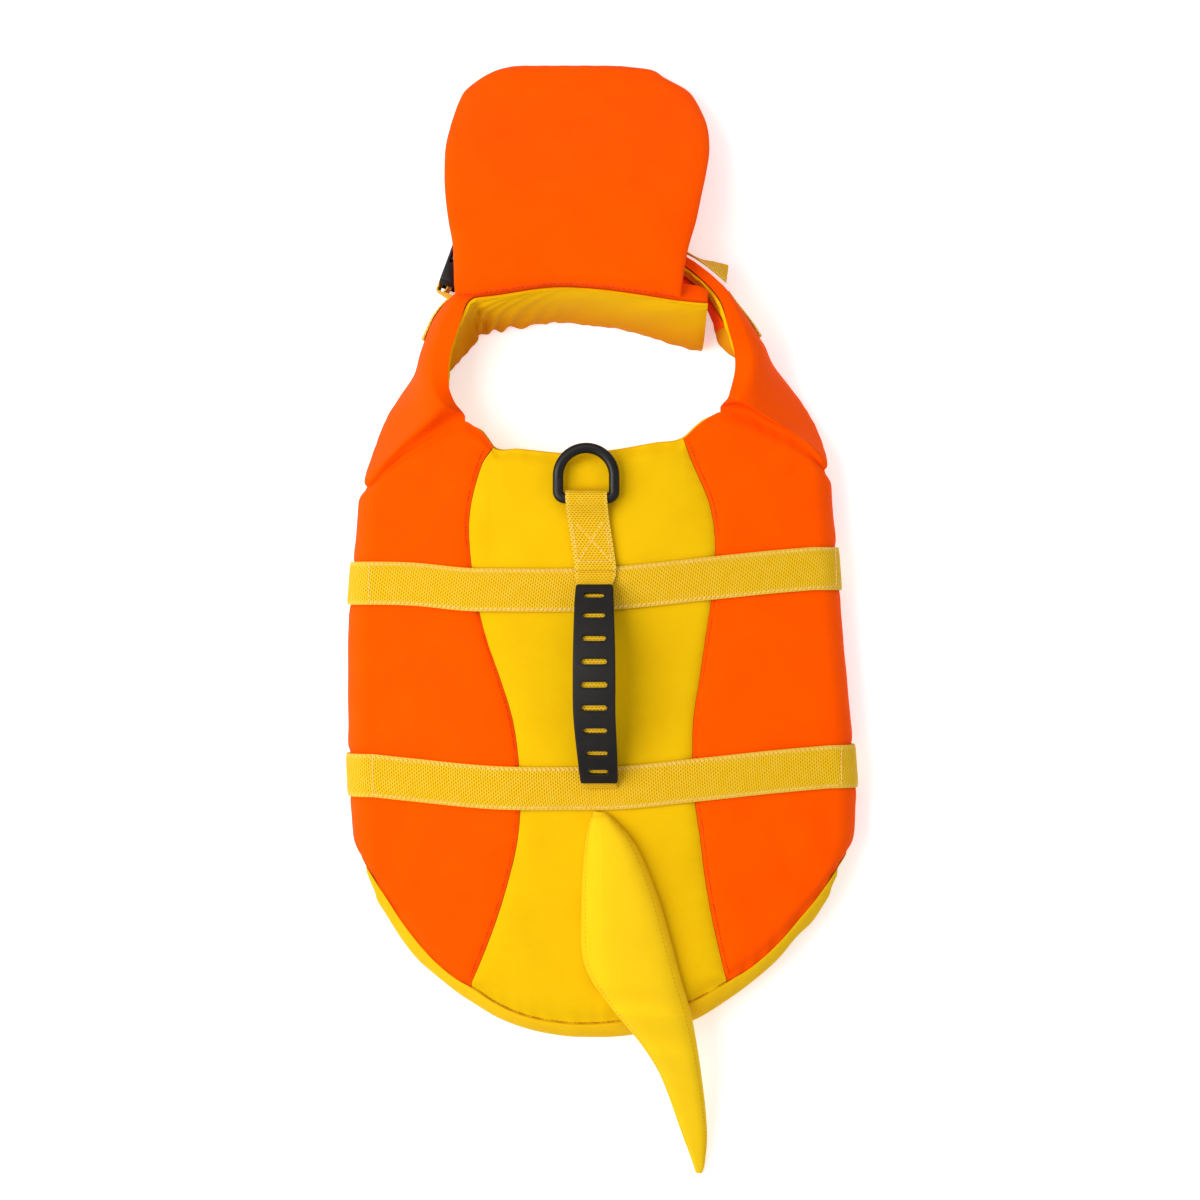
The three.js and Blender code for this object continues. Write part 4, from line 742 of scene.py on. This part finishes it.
def strip_grids(side, rows, count):
    v0 = np.array([[0.0]])
    knee = NECK_FOLD[0 if side < 0 else 1]
    _, start, end = trunk(side < 0, row_y(side * WIDEST, v0))
    start, end = float(start[0, 0]), float(end[0, 0])
    own = [lerp(knee, start, t) for t in (0, 0.3, 0.6, 0.85)]
    own += [lerp(start, end, i * FOOT_STEP) for i in range(6)]
    s = side * np.interp(Q, ACROSS, own)
    thin = np.interp(Q, ACROSS, FOLD_FOAM + [1] * 6)

    def crease(shift, depth):
        return skin(s, front_edge(s) + FOLD_GAP + shift, -lerp(4, depth, thin))

    outer, inner = [crease(0, 3.2), crease(3, 1)], [crease(0, FOAM), crease(3, FOAM)]
    at = stations(rows)
    for share in np.linspace(0, 1, count + 1):
        station = at(share * (len(rows) - 1))
        place = strip_place(station)
        outer.append(place(Q, station[6] / 2 * pad(Q)))
        inner.append(place(Q, -station[6] / 2 * lerp(0.94, pad(Q), smooth(Q, 0, 0.25))))
    grids = refine(np.stack(outer), rows=5), refine(np.stack(inner), rows=5)
    if side < 0:
        for grid in grids:
            for row in range(END_ROWS):
                cut = 1 - END_CUT * (1 - math.sqrt(1 - (1 - row / END_ROWS) ** 2))
                grid[-1 - row] = np.stack([np.interp(Q * cut, Q, grid[-1 - row][:, k]) for k in range(3)], axis=1)
    return grids


def collar(side, rows, count, name, cad, gathers, tuck):
    outer, inner = strip_grids(side, rows, count)
    n = len(outer)
    length = np.linspace(0, 1, n)[:, None]
    where = flat_places(outer)
    across, run = where[..., 0], where[..., 1]
    soft = 0.35 * waves(across, run, 51 + side, 44) + 0.1 * waves(across, run, 61 + side, 14)
    edge = np.minimum(Q, 1 - Q) * STRIP_WIDTH
    tucks = 0.14 * np.exp(-edge / 5) * np.sin(run / 1.6 + 1.5 * np.sin(run / 7))
    ends = smooth(length, 0, 0.05)
    facing = side * 1.0
    body = outer - facing * normals(outer) * ((soft + tucks) * ends)[..., None]
    hidden = 2.3 * (1 - smooth(length, *tuck)) * ends * smooth(Q, 0.03, 0.07)
    inner = inner - facing * normals(inner) * hidden[..., None]
    piece = wall(name, body, inner, ORANGE)
    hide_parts(cad)

    skip = 2 * 5
    near = (inner + facing * normals(inner) * STRIP_LINING_GAP)[skip:]
    far = (inner + facing * normals(inner) * (STRIP_LINING_GAP + LINING))[skip:]
    share = np.linspace(0, 1, n - skip)[:, None]
    pull = gathers(share, Q[None, :], run[skip:])
    far = far + facing * normals(far) * pull[..., None]
    keep = (Q > 0.03) & (Q < 0.975)
    near, far = near[:, keep], far[:, keep]
    for grid in (near, far):
        grid[..., 2] = np.maximum(grid[..., 2], 0)
    lining = wall(name + "_lining", near, far, BAND_YELLOW_PAINTED_SHADE)
    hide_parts(cad + "_lining")
    return lining


def band_gathers(share, q, run):
    """Diagonal gathers at the left end of the chest band, fading to small tucks along its edges."""
    here = smooth(share, 0.3, 0.42) * (1 - smooth(share, 0.5, 0.78))
    slant = run + 16 * q
    big = 1.3 * np.sin(slant / 1.9 + 1.2 * np.sin(run / 7)) * (0.35 + 0.65 * q)
    edges = np.exp(-np.minimum(q, 1 - q) * STRIP_WIDTH / 5)
    small = 0.45 * edges * np.sin(run / 1.5 + 1.4 * np.sin(run / 5.3))
    arm = 0.8 * np.sin(run / 4.1 + 5 * q) * (1 - smooth(share, 0.2, 0.34)) * smooth(share, 0, 0.06)
    return (big * here + small + 0.5 * arm + 0.3 * waves(run, q * STRIP_WIDTH, 71, 26)) * np.minimum(1, q * 10 + 0.2)


def arm_gathers(share, q, run):
    edges = np.exp(-np.minimum(q, 1 - q) * STRIP_WIDTH / 5)
    small = 0.4 * edges * np.sin(run / 1.6 + 1.4 * np.sin(run / 5.9))
    return (small + 0.5 * waves(run, q * STRIP_WIDTH, 73, 24)) * smooth(share, 0, 0.06)


left_lining = collar(-1, COLLAR_LEFT, 23, "cloth_collar_left", "collar_left", band_gathers, (0.1, 0.24))
right_lining = collar(1, COLLAR_RIGHT, 16, "cloth_collar_right", "collar_right", arm_gathers, (0.3, 0.55))


# Touch-fastening patch on the right arm's inner face
def closure_patch():
    at = stations(COLLAR_RIGHT)
    q = np.linspace(0.44, 0.84, 14)
    near, far = [], []
    for share in np.linspace(0, 1, 40):
        station = at(lerp(4.3, 8.4, share))
        place = strip_place(station)
        base = -station[6] / 2 * pad(q) - STRIP_LINING_GAP - LINING
        near.append(place(q, base - 0.3))
        far.append(place(q, base - 1.5 + 0.35 * (np.abs(q - 0.64) > 0.18)))
    piece = wall("loop_tape_patch", np.stack(near), np.stack(far), LOOP_TAPE)
    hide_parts("closure_patch")


closure_patch()


# Chin float
def chin_float():
    at = stations(FLOAT_ROWS)
    seam = curve(FLOAT_SEAM)
    q = ends_close(110, 0.75)
    top, bottom = [], []
    for share in ends_close(110, 0.75):
        y, left, right, z, thick = at(share * (len(FLOAT_ROWS) - 1))
        x = lerp(left, right, q)
        bow = (seam(x) - 187) * max(0, 1 - share * 2.2) ** 2
        pillow = 0.08 + 0.92 * np.sqrt(np.maximum(0, 1 - np.abs(2 * q - 1) ** 7))
        rear, tip = math.exp(-share * 150 / 7), math.exp(-(1 - share) * 150 / 5)
        side = np.exp(-np.minimum(q, 1 - q) * 140 / 5)
        tuck = 0.35 * side * np.sin(y / 1.9 + 1.5 * math.sin(y / 8))
        tuck = tuck + 0.5 * rear * np.sin(x / 2 + 1.4 * np.sin(x / 8.3)) + 0.35 * tip * np.sin(x / 1.9)
        soft = (0.55 * waves(x, y, 81, 70) + 0.14 * waves(x, y, 82, 22)) * pillow
        half = pillow * thick / 2
        top.append(vec(x, y + bow, np.maximum(0.05, z + half + soft + tuck)))
        bottom.append(vec(x, y + bow, np.maximum(0, z - half - soft)))
    piece = wall("cloth_chin_float", np.stack(top), np.stack(bottom), ORANGE)
    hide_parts("chin_float")
    return np.stack(top)


float_top = chin_float()


# Tail fin
def fin():
    at = stations(FIN_ROWS)
    q = ends_close(60, 0.6)
    top, bottom = [], []
    for share in np.linspace(0, 1, 190):
        row = share * (len(FIN_ROWS) - 1)
        bx, by, lx, ly, z, thick = at(row)
        free = float(smooth(row, FIN_RESTS - 1, FIN_RESTS))
        x, y = lerp(bx, lx, q), lerp(by, ly, q)
        rise = z if row < FIN_RESTS - 1 else FIN_ROWS[FIN_RESTS - 1][4]
        rest = skin(x, y, SEAM_GAP + 0.1)[:, 2] + rise
        low = lerp(rest, FIN_ROWS[FIN_RESTS][4] if row < FIN_RESTS else z, free)
        full = 0.14 + 0.86 * np.sqrt(np.maximum(0, 1 - np.abs(2 * q - 1) ** 3.2))
        edge = np.minimum(q, 1 - q) * max(8, lx - bx)
        tuck = 0.25 * np.exp(-edge / 4) * math.sin(share * 118 + 1.5 * math.sin(share * 31))
        soft = 0.35 * waves(x, y, 91, 40) * full
        top.append(vec(x, y, low + full * thick + soft + tuck))
        bottom.append(vec(x, y, np.maximum(0.02, low)))
    piece = wall("cloth_fin", np.stack(top), np.stack(bottom), FIN_YELLOW)
    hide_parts("fin")
    return np.stack(top)


fin_top = fin()


# Webbing: frames are the points across the strap and the way its face looks
def webbing(name, frames, cad, thick=WEB_THICK):
    points = np.stack([f[0] for f in frames])
    face = unit(np.stack([f[1] for f in frames]))[:, None]
    share = np.linspace(-1, 1, points.shape[1])
    half = thick / 2 * (1 - 0.55 * np.abs(share) ** 8)[None, :, None]
    piece = wall(name, points + face * half, points - face * half, WEBBING)
    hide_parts(cad)
    return piece


LINES = np.linspace(-0.5, 0.5, 13)


def bar_fold(tail=BAR_TAIL):
    half = WEB_THICK / 2
    middle = half + BAR_RADIUS
    places = [(BAR_X + BAR_LEAD, half + 0.03, 0, -1), (BAR_X + 3, half, 0, -1)]
    for t in np.linspace(0, 1, 15):
        angle = -math.pi / 2 - t * math.pi
        c, s = math.cos(angle), math.sin(angle)
        places.append((BAR_X + BAR_RADIUS * c, middle + BAR_RADIUS * s, c, s))
    top = middle + BAR_RADIUS - 0.6
    places += [(BAR_X + 5, top, 0.12, 1), (BAR_X + tail, top - 0.4 * (tail - 5), 0.1, 1)]
    return [(vec(x, LINES * WEB, z), np.array([nx, 0, nz], float)) for x, z, nx, nz in places]


def mirrored(frames):
    flip = np.array([-1, 1, 1])
    return [(p * flip, n * flip) for p, n in frames]


def moved(frames, matrix):
    turn, shift = np.array(matrix.to_3x3()), np.array(matrix.translation)
    return [(p @ turn.T + shift, turn @ n) for p, n in frames]


def girth_strap(rows, buckle_y, name, cad):
    place = curve(rows)
    ring = []
    for side in (-1, 1):
        centre, start, end = [float(v) for v in trunk(side < 0, place(side * 150.0))]
        to_buckle = end + centre - BAR_X - 2 * BAR_LEAD
        a = np.concatenate([
            np.linspace(0, start, 60, endpoint=False), np.linspace(start, end, 40, endpoint=False),
            np.linspace(end, to_buckle, 16),
        ])
        y = lerp(place(side * np.minimum(a, centre)), buckle_y, smooth(a, end - 20, to_buckle))
        part = list(zip(side * a, y))
        ring += part[::-1] if side < 0 else part[1:]
    frames = []
    for s, y in ring:
        lie = WEB_GAP + WEB_THICK / 2
        points = skin(s, y + LINES * WEB, lie + 0.12 * math.sin(s / 13))
        frames.append((points, skin(s, y, 1) - skin(s, y, 0)))
    shift = Matrix.Translation((0, buckle_y, 0))
    right, left = moved(bar_fold(), shift), moved(mirrored(bar_fold()), shift)
    frames = left[::-1] + frames + right
    webbing(name, frames, cad)


girth_strap(STRAP_FRONT, FRONT_BUCKLE_Y, "webbing_girth_front", "strap_front")
girth_strap(STRAP_REAR, REAR_BUCKLE_Y, "webbing_girth_rear", "strap_rear")

neck_matrix = (
    Matrix.Translation(NECK_BUCKLE[:3]) @ Matrix.Rotation(math.radians(NECK_BUCKLE[3]), 4, "Z")
    @ Matrix.Rotation(math.pi / 2, 4, "X")
)


# How far the lower edge of an arm's webbing stands off the arm
ARM_FLARE = 2.4


def along_strip(rows, start, stop, count):
    at = stations(rows)
    frames = []
    for share in np.linspace(0, 1, count):
        station = at(lerp(start, stop, share))
        place = strip_place(station)
        q = lerp(0.83, 0.3, LINES + 0.5)
        face = station[6] / 2 * (0.42 + 0.58 * (1 - np.abs(2 * q - 1) ** 5))
        points = place(q, face + 0.25 + WEB_THICK / 2 + ARM_FLARE * (0.5 - LINES))
        frames.append((points, place(0.565, 1.0) - place(0.565, 0.0)))
    return frames


def upright(rows, count):
    at = stations(rows)
    frames = []
    for share in np.linspace(0, 1, count):
        x, y, z, facing, tilt = at(share * (len(rows) - 1))
        f, t = math.radians(facing), math.radians(tilt)
        out, up = np.array([math.cos(f), math.sin(f), 0]), np.array([0, 0, 1])
        rise = up * math.cos(t) - out * math.sin(t)
        frames.append((np.array([x, y, z]) + LINES[:, None] * WEB * rise, out * math.cos(t) + up * math.sin(t)))
    return frames


NECK_TAIL = 7
left_neck = along_strip(COLLAR_LEFT, 3.4, 5.2, 26) + moved(mirrored(bar_fold(NECK_TAIL)), neck_matrix)
webbing("webbing_neck_left", left_neck, "neck_strap_left")
front_neck = moved(bar_fold(NECK_TAIL), neck_matrix)[::-1] + upright(NECK_STRAP_FRONT, 80)
webbing("webbing_neck_front", front_neck, "neck_strap_front")
right_neck = along_strip(COLLAR_RIGHT, 3.45, 5.8, 26)
webbing("webbing_neck_right", right_neck, "neck_strap_right")


# Handle: webbing round the ring's bar, along the back and through the grip
def arch_z(y):
    t = (y - HANDLE_REAR) / (HANDLE_FRONT - HANDLE_REAR)
    return HANDLE_FOOT + HANDLE_RISE * (1 - (2 * t - 1) ** 2)


def arch_slope(y):
    span = HANDLE_FRONT - HANDLE_REAR
    return -4 * HANDLE_RISE * (2 * (y - HANDLE_REAR) / span - 1) / span


def handle_path():
    half = WEB_THICK / 2

    def back(y):
        return float(skin(float(drift(y)), y, SEAM_GAP + half)[2])

    def strap(y):
        return back(y) + WEB_GAP + WEB_THICK

    layer = WEB_THICK + SEAM_GAP
    loop = RING_BAR / math.cos(math.pi / 8) + 0.4 + half
    wide = 24
    path = [
        (28.4, strap(28.4) + layer, wide), (31.5, strap(31.5) + layer - 0.4, wide), (35, back(35) + layer, wide),
        (45, back(45) + layer, wide), (55, back(55) + layer, wide), (61, back(61) + layer + 1.6, wide),
        (66, RING[2] + loop - 1.4, wide),
    ]
    for t in np.linspace(0, 1, 17):
        angle = math.pi / 2 - t * math.pi
        path.append((RING[1] + loop * math.cos(angle), RING[2] + loop * math.sin(angle), wide))
    path += [
        (60, back(60), wide), (46, back(46), wide), (35.5, back(35.5), wide), (31.6, strap(31.6), wide),
        (26.4, strap(26.4), wide), (23.6, strap(23.6) + 0.9, 23), (21.2, strap(21.2) + 2.4, 21),
    ]
    path += [(y, arch_z(y), HANDLE_WIDTH) for y in np.linspace(HANDLE_FRONT, HANDLE_REAR, 40)]
    path += [
        (-95.4, 46.6, HANDLE_WIDTH), (-96.9, 45.5, HANDLE_WIDTH), (-96.7, strap(-96.7) + 0.15, HANDLE_WIDTH),
        (-95, strap(-95), HANDLE_WIDTH), (-85, strap(-85), HANDLE_WIDTH),
    ]
    return path


def handle_webbing():
    path = np.array(handle_path(), float)
    frames = []
    for i, (y, z, width) in enumerate(path):
        before, after = path[max(0, i - 1)], path[min(len(path) - 1, i + 1)]
        along = unit(np.array([0, after[0] - before[0], after[1] - before[1]]))
        frames.append((vec(float(drift(y)) + LINES * width, y, z), np.array([0, -along[2], along[1]])))
    webbing("webbing_handle", frames, "handle_webbing")


handle_webbing()


# Hard pieces
def sweep(sections, ring=False):
    """Points and faces of a body through closed sections, capped or joined into a ring."""
    sections = np.asarray(sections, float)
    count, n = sections.shape[:2]
    faces = []
    for i in range(count if ring else count - 1):
        j = (i + 1) % count
        faces += [(i * n + k, i * n + (k + 1) % n, j * n + (k + 1) % n, j * n + k) for k in range(n)]
    if not ring:
        faces += [tuple(range(n))[::-1], tuple((count - 1) * n + k for k in range(n))]
    return sections.reshape(-1, 3), faces


def joined(parts):
    points, faces, start = [], [], 0
    for p, f in parts:
        points.append(p)
        faces += [tuple(i + start for i in face) for face in f]
        start += len(p)
    return np.concatenate(points), faces


def rounded_box(width, height, radius, steps=4):
    """A rounded rectangle's outline about the origin."""
    outline = []
    for corner, (cx, cy) in enumerate(((1, 1), (-1, 1), (-1, -1), (1, -1))):
        for t in np.linspace(0, 1, steps + 1):
            angle = math.pi / 2 * (corner + t)
            x = cx * (width / 2 - radius) + radius * math.cos(angle)
            outline.append((x, cy * (height / 2 - radius) + radius * math.sin(angle)))
    return outline


def grip_frame(y):
    slope = arch_slope(y)
    normal = unit(np.array([0, -slope, 1.0]))
    along = unit(np.array([0, 1.0, slope]))
    return np.array([float(drift(y)), y, arch_z(y)]), along, normal


def grip_section(y, outline):
    middle, _, normal = grip_frame(y)
    return [middle + np.array([a, 0, 0]) + normal * b for a, b in outline]


def grip():
    height = 5.6
    span = HANDLE_FRONT - HANDLE_REAR
    sections = []
    for t in ends_close(60, 0.5):
        y = lerp(HANDLE_FRONT, HANDLE_REAR, t)
        swell = 0.915 + 0.125 * math.sin(math.pi * (y - HANDLE_REAR) / span) ** 0.8
        inset = 0.7 * (math.exp(-t * span / 0.5) + math.exp(-(1 - t) * span / 0.5))
        sections.append(grip_section(y, rounded_box(SLEEVE * swell - inset, height - inset, 1.1)))
    body = mesh_object("grip_sleeve", *sweep(sections), RUBBER, sharp=35)
    hollow = rounded_box(HANDLE_WIDTH + 0.3, 2.2, 0.3, 1)
    channel = [grip_section(y, hollow) for y in np.linspace(HANDLE_FRONT + 2, HANDLE_REAR - 2, 50)]
    cutters = [mesh_object("cut_channel", *sweep(channel), RUBBER)]
    slots, rims = [], []
    for share, width in GRIP_SLOTS:
        y = lerp(HANDLE_FRONT, HANDLE_REAR, share)
        middle, along, normal = grip_frame(y)
        outline = rounded_box(width, 3.2, 1.55, 5)
        ring = [middle + np.array([a, 0, 0]) + along * b for a, b in outline]
        slots.append(sweep([[p + normal * h for p in ring] for h in (0.2, 4)]))
        rim = []
        for i, (a, b) in enumerate(outline):
            before, after = outline[i - 1], outline[(i + 1) % len(outline)]
            side = unit(np.array([after[1] - before[1], before[0] - after[0]], float))
            centre = middle + np.array([a + 0.55 * side[0], 0, 0]) + along * (b + 0.55 * side[1])
            centre = centre + normal * (height / 2 - 0.05)
            out = np.array([side[0], 0, 0]) + along * side[1]
            turns = np.linspace(0, 2 * math.pi, 8, endpoint=False)
            rim.append([centre + 0.5 * (math.cos(k) * out + 0.7 * math.sin(k) * normal) for k in turns])
        rims.append(sweep(rim, ring=True))
    cutters.append(mesh_object("cut_slots", *joined(slots), RUBBER))
    for cutter in cutters:
        cut = body.modifiers.new(cutter.name, "BOOLEAN")
        cut.operation, cut.solver, cut.object = "DIFFERENCE", "EXACT", cutter
    carved = bpy.data.meshes.new_from_object(body.evaluated_get(bpy.context.evaluated_depsgraph_get()))
    body.modifiers.clear()
    body.data = carved
    for cutter in cutters:
        bpy.data.objects.remove(cutter)
    carved.set_sharp_from_angle(angle=math.radians(35))
    rim = mesh_object("grip_slot_rims", *joined(rims), RUBBER)
    rim.parent = body
    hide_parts("handle_grip")


grip()


def d_ring():
    corner, arc_y = 4, RING_HEIGHT - RING_HALF
    path = []

    def arc(cx, cy, radius, start, stop, steps):
        for t in np.linspace(0, 1, steps):
            a = math.radians(lerp(start, stop, t))
            path.append((cx + radius * math.cos(a), cy + radius * math.sin(a), 0))

    arc(RING_HALF - corner, corner, corner, -90, 0, 9)
    arc(0, arc_y, RING_HALF, 0, 180, 48)
    arc(-RING_HALF + corner, corner, corner, 180, 270, 9)
    path = np.array(path) + RING
    sections = []
    for i, p in enumerate(path):
        along = unit(path[(i + 1) % len(path)] - path[i - 1])
        side = np.cross(along, [0, 0, 1])
        section = []
        for k in range(16):
            a = math.radians(22.5 * k + 11.25)
            across, rise = abs(math.cos(a)) ** 0.8, abs(math.sin(a)) ** 0.8
            flat = math.copysign(across, math.cos(a)) * side * 1.08
            section.append(p + RING_BAR * (flat + math.copysign(rise, math.sin(a)) * np.array([0, 0, 0.96])))
        sections.append(section)
    piece = mesh_object("leash_ring", *sweep(sections, ring=True), PLASTIC, body="d_ring", sharp=60)
    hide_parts("d_ring")


d_ring()


def softened(cad, width=0.00045):
    """A moulded piece with the solid's form and small rounds on its edges."""
    mesh = nodes[cad].data.copy()
    mesh.name = "moulded_" + cad
    work = bmesh.new()
    work.from_mesh(mesh)
    bmesh.ops.remove_doubles(work, verts=work.verts, dist=1e-6)
    bmesh.ops.dissolve_limit(work, angle_limit=math.radians(2), verts=work.verts, edges=work.edges)
    edges = [e for e in work.edges if len(e.link_faces) == 2 and e.calc_face_angle(0) > math.radians(28)]
    bmesh.ops.bevel(work, geom=edges, offset=width, segments=2, profile=0.6, affect="EDGES", clamp_overlap=True)
    bmesh.ops.triangulate(work, faces=work.faces)
    work.to_mesh(mesh)
    work.free()
    mesh.materials.clear()
    mesh.materials.append(PLASTIC)
    mesh.shade_smooth()
    mesh.set_sharp_from_angle(angle=math.radians(32))
    piece = bpy.data.objects.new("moulded_" + cad, mesh)
    bpy.context.scene.collection.objects.link(piece)
    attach(piece, "jacket")
    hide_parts(cad)


for which in ("front", "rear", "neck"):
    softened(f"buckle_{which}_socket")
    softened(f"buckle_{which}_plug")


# Thread: each stitch is a short plump capsule that dips into the cloth at its ends
def stitches(path, face, length=2.2, pitch=3.0, radius=0.26, jitter=0.12):
    """Capsules along a path of points in millimetres. face is the way the cloth looks at each point."""
    path, face = np.asarray(path, float), unit(np.asarray(face, float))
    run = np.concatenate([[0], np.cumsum(np.linalg.norm(np.diff(path, axis=0), axis=1))])
    parts = []
    for start in np.arange(0.3, run[-1] - length, pitch):
        at = start + rng.uniform(-jitter, jitter)
        t = np.array([0, 0.12, 0.5, 0.88, 1]) * length * rng.uniform(0.9, 1.08) + at
        middle = np.stack([np.interp(t, run, path[:, k]) for k in range(3)], axis=1)
        up = unit(np.stack([np.interp(t, run, face[:, k]) for k in range(3)], axis=1))
        along = unit(np.gradient(middle, axis=0))
        side = unit(np.cross(along, up))
        middle = middle + side * rng.uniform(-0.06, 0.06)
        size = np.array([0.25, 0.85, 1, 0.85, 0.25]) * radius
        lift = np.array([-0.25, 0.02, 0.1, 0.02, -0.25]) * radius * 2
        sections = []
        for i in range(5):
            turns = np.linspace(0, 2 * math.pi, 6, endpoint=False)
            ring = [math.cos(k) * side[i] + math.sin(k) * up[i] for k in turns]
            sections.append([middle[i] + up[i] * lift[i] + size[i] * r for r in ring])
        parts.append(sweep(sections))
    return parts


def seam(name, parts, material, slot="webbing"):
    piece = mesh_object(name, *joined(parts), material, sharp=80)
    return piece


def on_skin(s, y, lift):
    """Places and facings on the trunk."""
    places = skin(s, y, lift)
    return places, skin(s, y, lift + 1) - places


WEB_TOP = WEB_GAP + WEB_THICK
pale = []
for rows, ends in ((STRAP_FRONT, (-134, 138)), (STRAP_REAR, (-132, 140))):
    place = curve(rows)
    s = np.linspace(*ends, 200)
    for edge in (-11, 11):
        pale += stitches(*on_skin(s, place(s) + edge, WEB_TOP + 0.02), length=2.1, pitch=2.7, radius=0.27, jitter=0.3)
    for s_cross in ends:
        y = np.linspace(-11, 11, 20)
        line = on_skin(np.full(20, float(s_cross)), place(float(s_cross)) + y, WEB_TOP + 0.02)
        pale += stitches(*line, length=1.9, pitch=2.4, radius=0.3)
seam("thread_straps", pale, PALE_THREAD)


# The stitched box with its crossed lines on the tab
def tab_box():
    half = WEB_THICK / 2
    layer = WEB_THICK + SEAM_GAP

    def top(x, y):
        x, y = np.broadcast_arrays(np.asarray(x, float), y)
        lie = skin(drift(y), y, SEAM_GAP + half)[..., 2] + layer + half
        return vec(x + drift(y), y, lie + (WEB_GAP + WEB_THICK) * (1 - smooth(y, 31.5, 35)))

    w, y0, y1 = 9.6, 33.5, 58.5
    up = np.array([[0, 0, 1.0]])
    lines = [
        ((-w, y0), (-w, y1)), ((w, y0), (w, y1)), ((-w, y0), (w, y0)), ((-w, y1), (w, y1)),
        ((-w, y0), (w, y1)), ((w, y0), (-w, y1)),
    ]
    parts = []
    for (xa, ya), (xb, yb) in lines:
        t = np.linspace(0, 1, 40)
        path = top(lerp(xa, xb, t), lerp(ya, yb, t))
        parts += stitches(path, np.repeat(up, 40, axis=0), length=1.9, pitch=2.5, radius=0.3)
    seam("thread_tab", parts, PALE_THREAD)


tab_box()

# Topstitching beside the seams and above the rim
v = np.linspace(0.012, 0.988, 400)
panel = []
for side, line in ((-1, seam_left), (1, seam_right)):
    s = crossing(line, side, v) + side * 1.9
    panel += stitches(*on_skin(s, row_y(s, v), -1.2), length=2.2, pitch=2.5, radius=0.2)
seam("thread_panels", panel, RED_THREAD, "orange_cloth")
s = np.linspace(-82, 84, 500)
rim = stitches(*on_skin(s, row_y(s, 1.0) + 0.2, -2.75), length=2.7, pitch=2.75, radius=0.2, jitter=0.1)
seam("thread_rim", rim, RIM_THREAD, "orange_cloth")


def grid_path(grid, row, columns):
    """A path along one line of a grid, with the way the grid looks there."""
    face = normals(grid)
    if float(np.mean(face[..., 2])) < 0:
        face = -face
    return (grid[row, columns], face[row, columns])


rear = grid_path(float_top, 4, slice(3, -3))
seam("thread_float", stitches(*rear, length=2.4, pitch=3.1, radius=0.3, jitter=0.3), RED_THREAD, "orange_cloth")
fin_lines = []
for column in (6, -9):
    fin_lines += stitches(*grid_path(fin_top, slice(6, 184), column), length=1.9, pitch=2.7, radius=0.17)
seam("thread_yellow", fin_lines, GOLD_THREAD, "yellow_cloth")

# Stage, light and camera
def floor():
    mesh = bpy.data.meshes.new("floor")
    size = 6
    mesh.from_pydata([(-size, -size, 0), (size, -size, 0), (size, size, 0), (-size, size, 0)], [], [(0, 1, 2, 3)])
    ground = bpy.data.objects.new("floor", mesh)
    ground.location = (0, 0, -0.0002)
    bpy.context.scene.collection.objects.link(ground)
    material, _, principled = shader("floor", (0.86, 0.86, 0.86, 1), 0.9)
    principled.inputs["Specular IOR Level"].default_value = 0.1
    principled.inputs["Emission Color"].default_value = (1, 1, 1, 1)
    principled.inputs["Emission Strength"].default_value = 0.42
    mesh.materials.append(material)


floor()


def softbox(name, at, size, power, aim=(0, 0, 0)):
    light = bpy.data.lights.new(name, "AREA")
    light.shape, light.size, light.energy = "SQUARE", size, power
    lamp = bpy.data.objects.new(name, light)
    lamp.location = at
    lamp.rotation_euler = (Vector(aim) - Vector(at)).to_track_quat("-Z", "Y").to_euler()
    bpy.context.scene.collection.objects.link(lamp)


softbox("key", (-0.95, 0.0, 1.25), 1.2, 23)
softbox("fill", (1.8, -0.6, 2.2), 2.0, 6)
softbox("top", (0, 1.6, 2.6), 1.8, 12)
world = bpy.data.worlds.new("studio")
bpy.context.scene.world = world
world.use_nodes = True
world.node_tree.nodes["Background"].inputs["Color"].default_value = (1, 1, 1, 1)
world.node_tree.nodes["Background"].inputs["Strength"].default_value = 0.48

camera = bpy.data.objects.new("camera", bpy.data.cameras.new("camera"))
camera.data.sensor_width = SENSOR
camera.data.lens = SENSOR * CAMERA_AT[2] / FRAME_WIDTH
camera.data.clip_end = 20
camera.location = CAMERA_AT
bpy.context.scene.collection.objects.link(camera)
bpy.context.scene.camera = camera
view = bpy.context.scene.view_settings
view.view_transform, view.look = "Standard", "None"
view.exposure, view.gamma = 0, 1
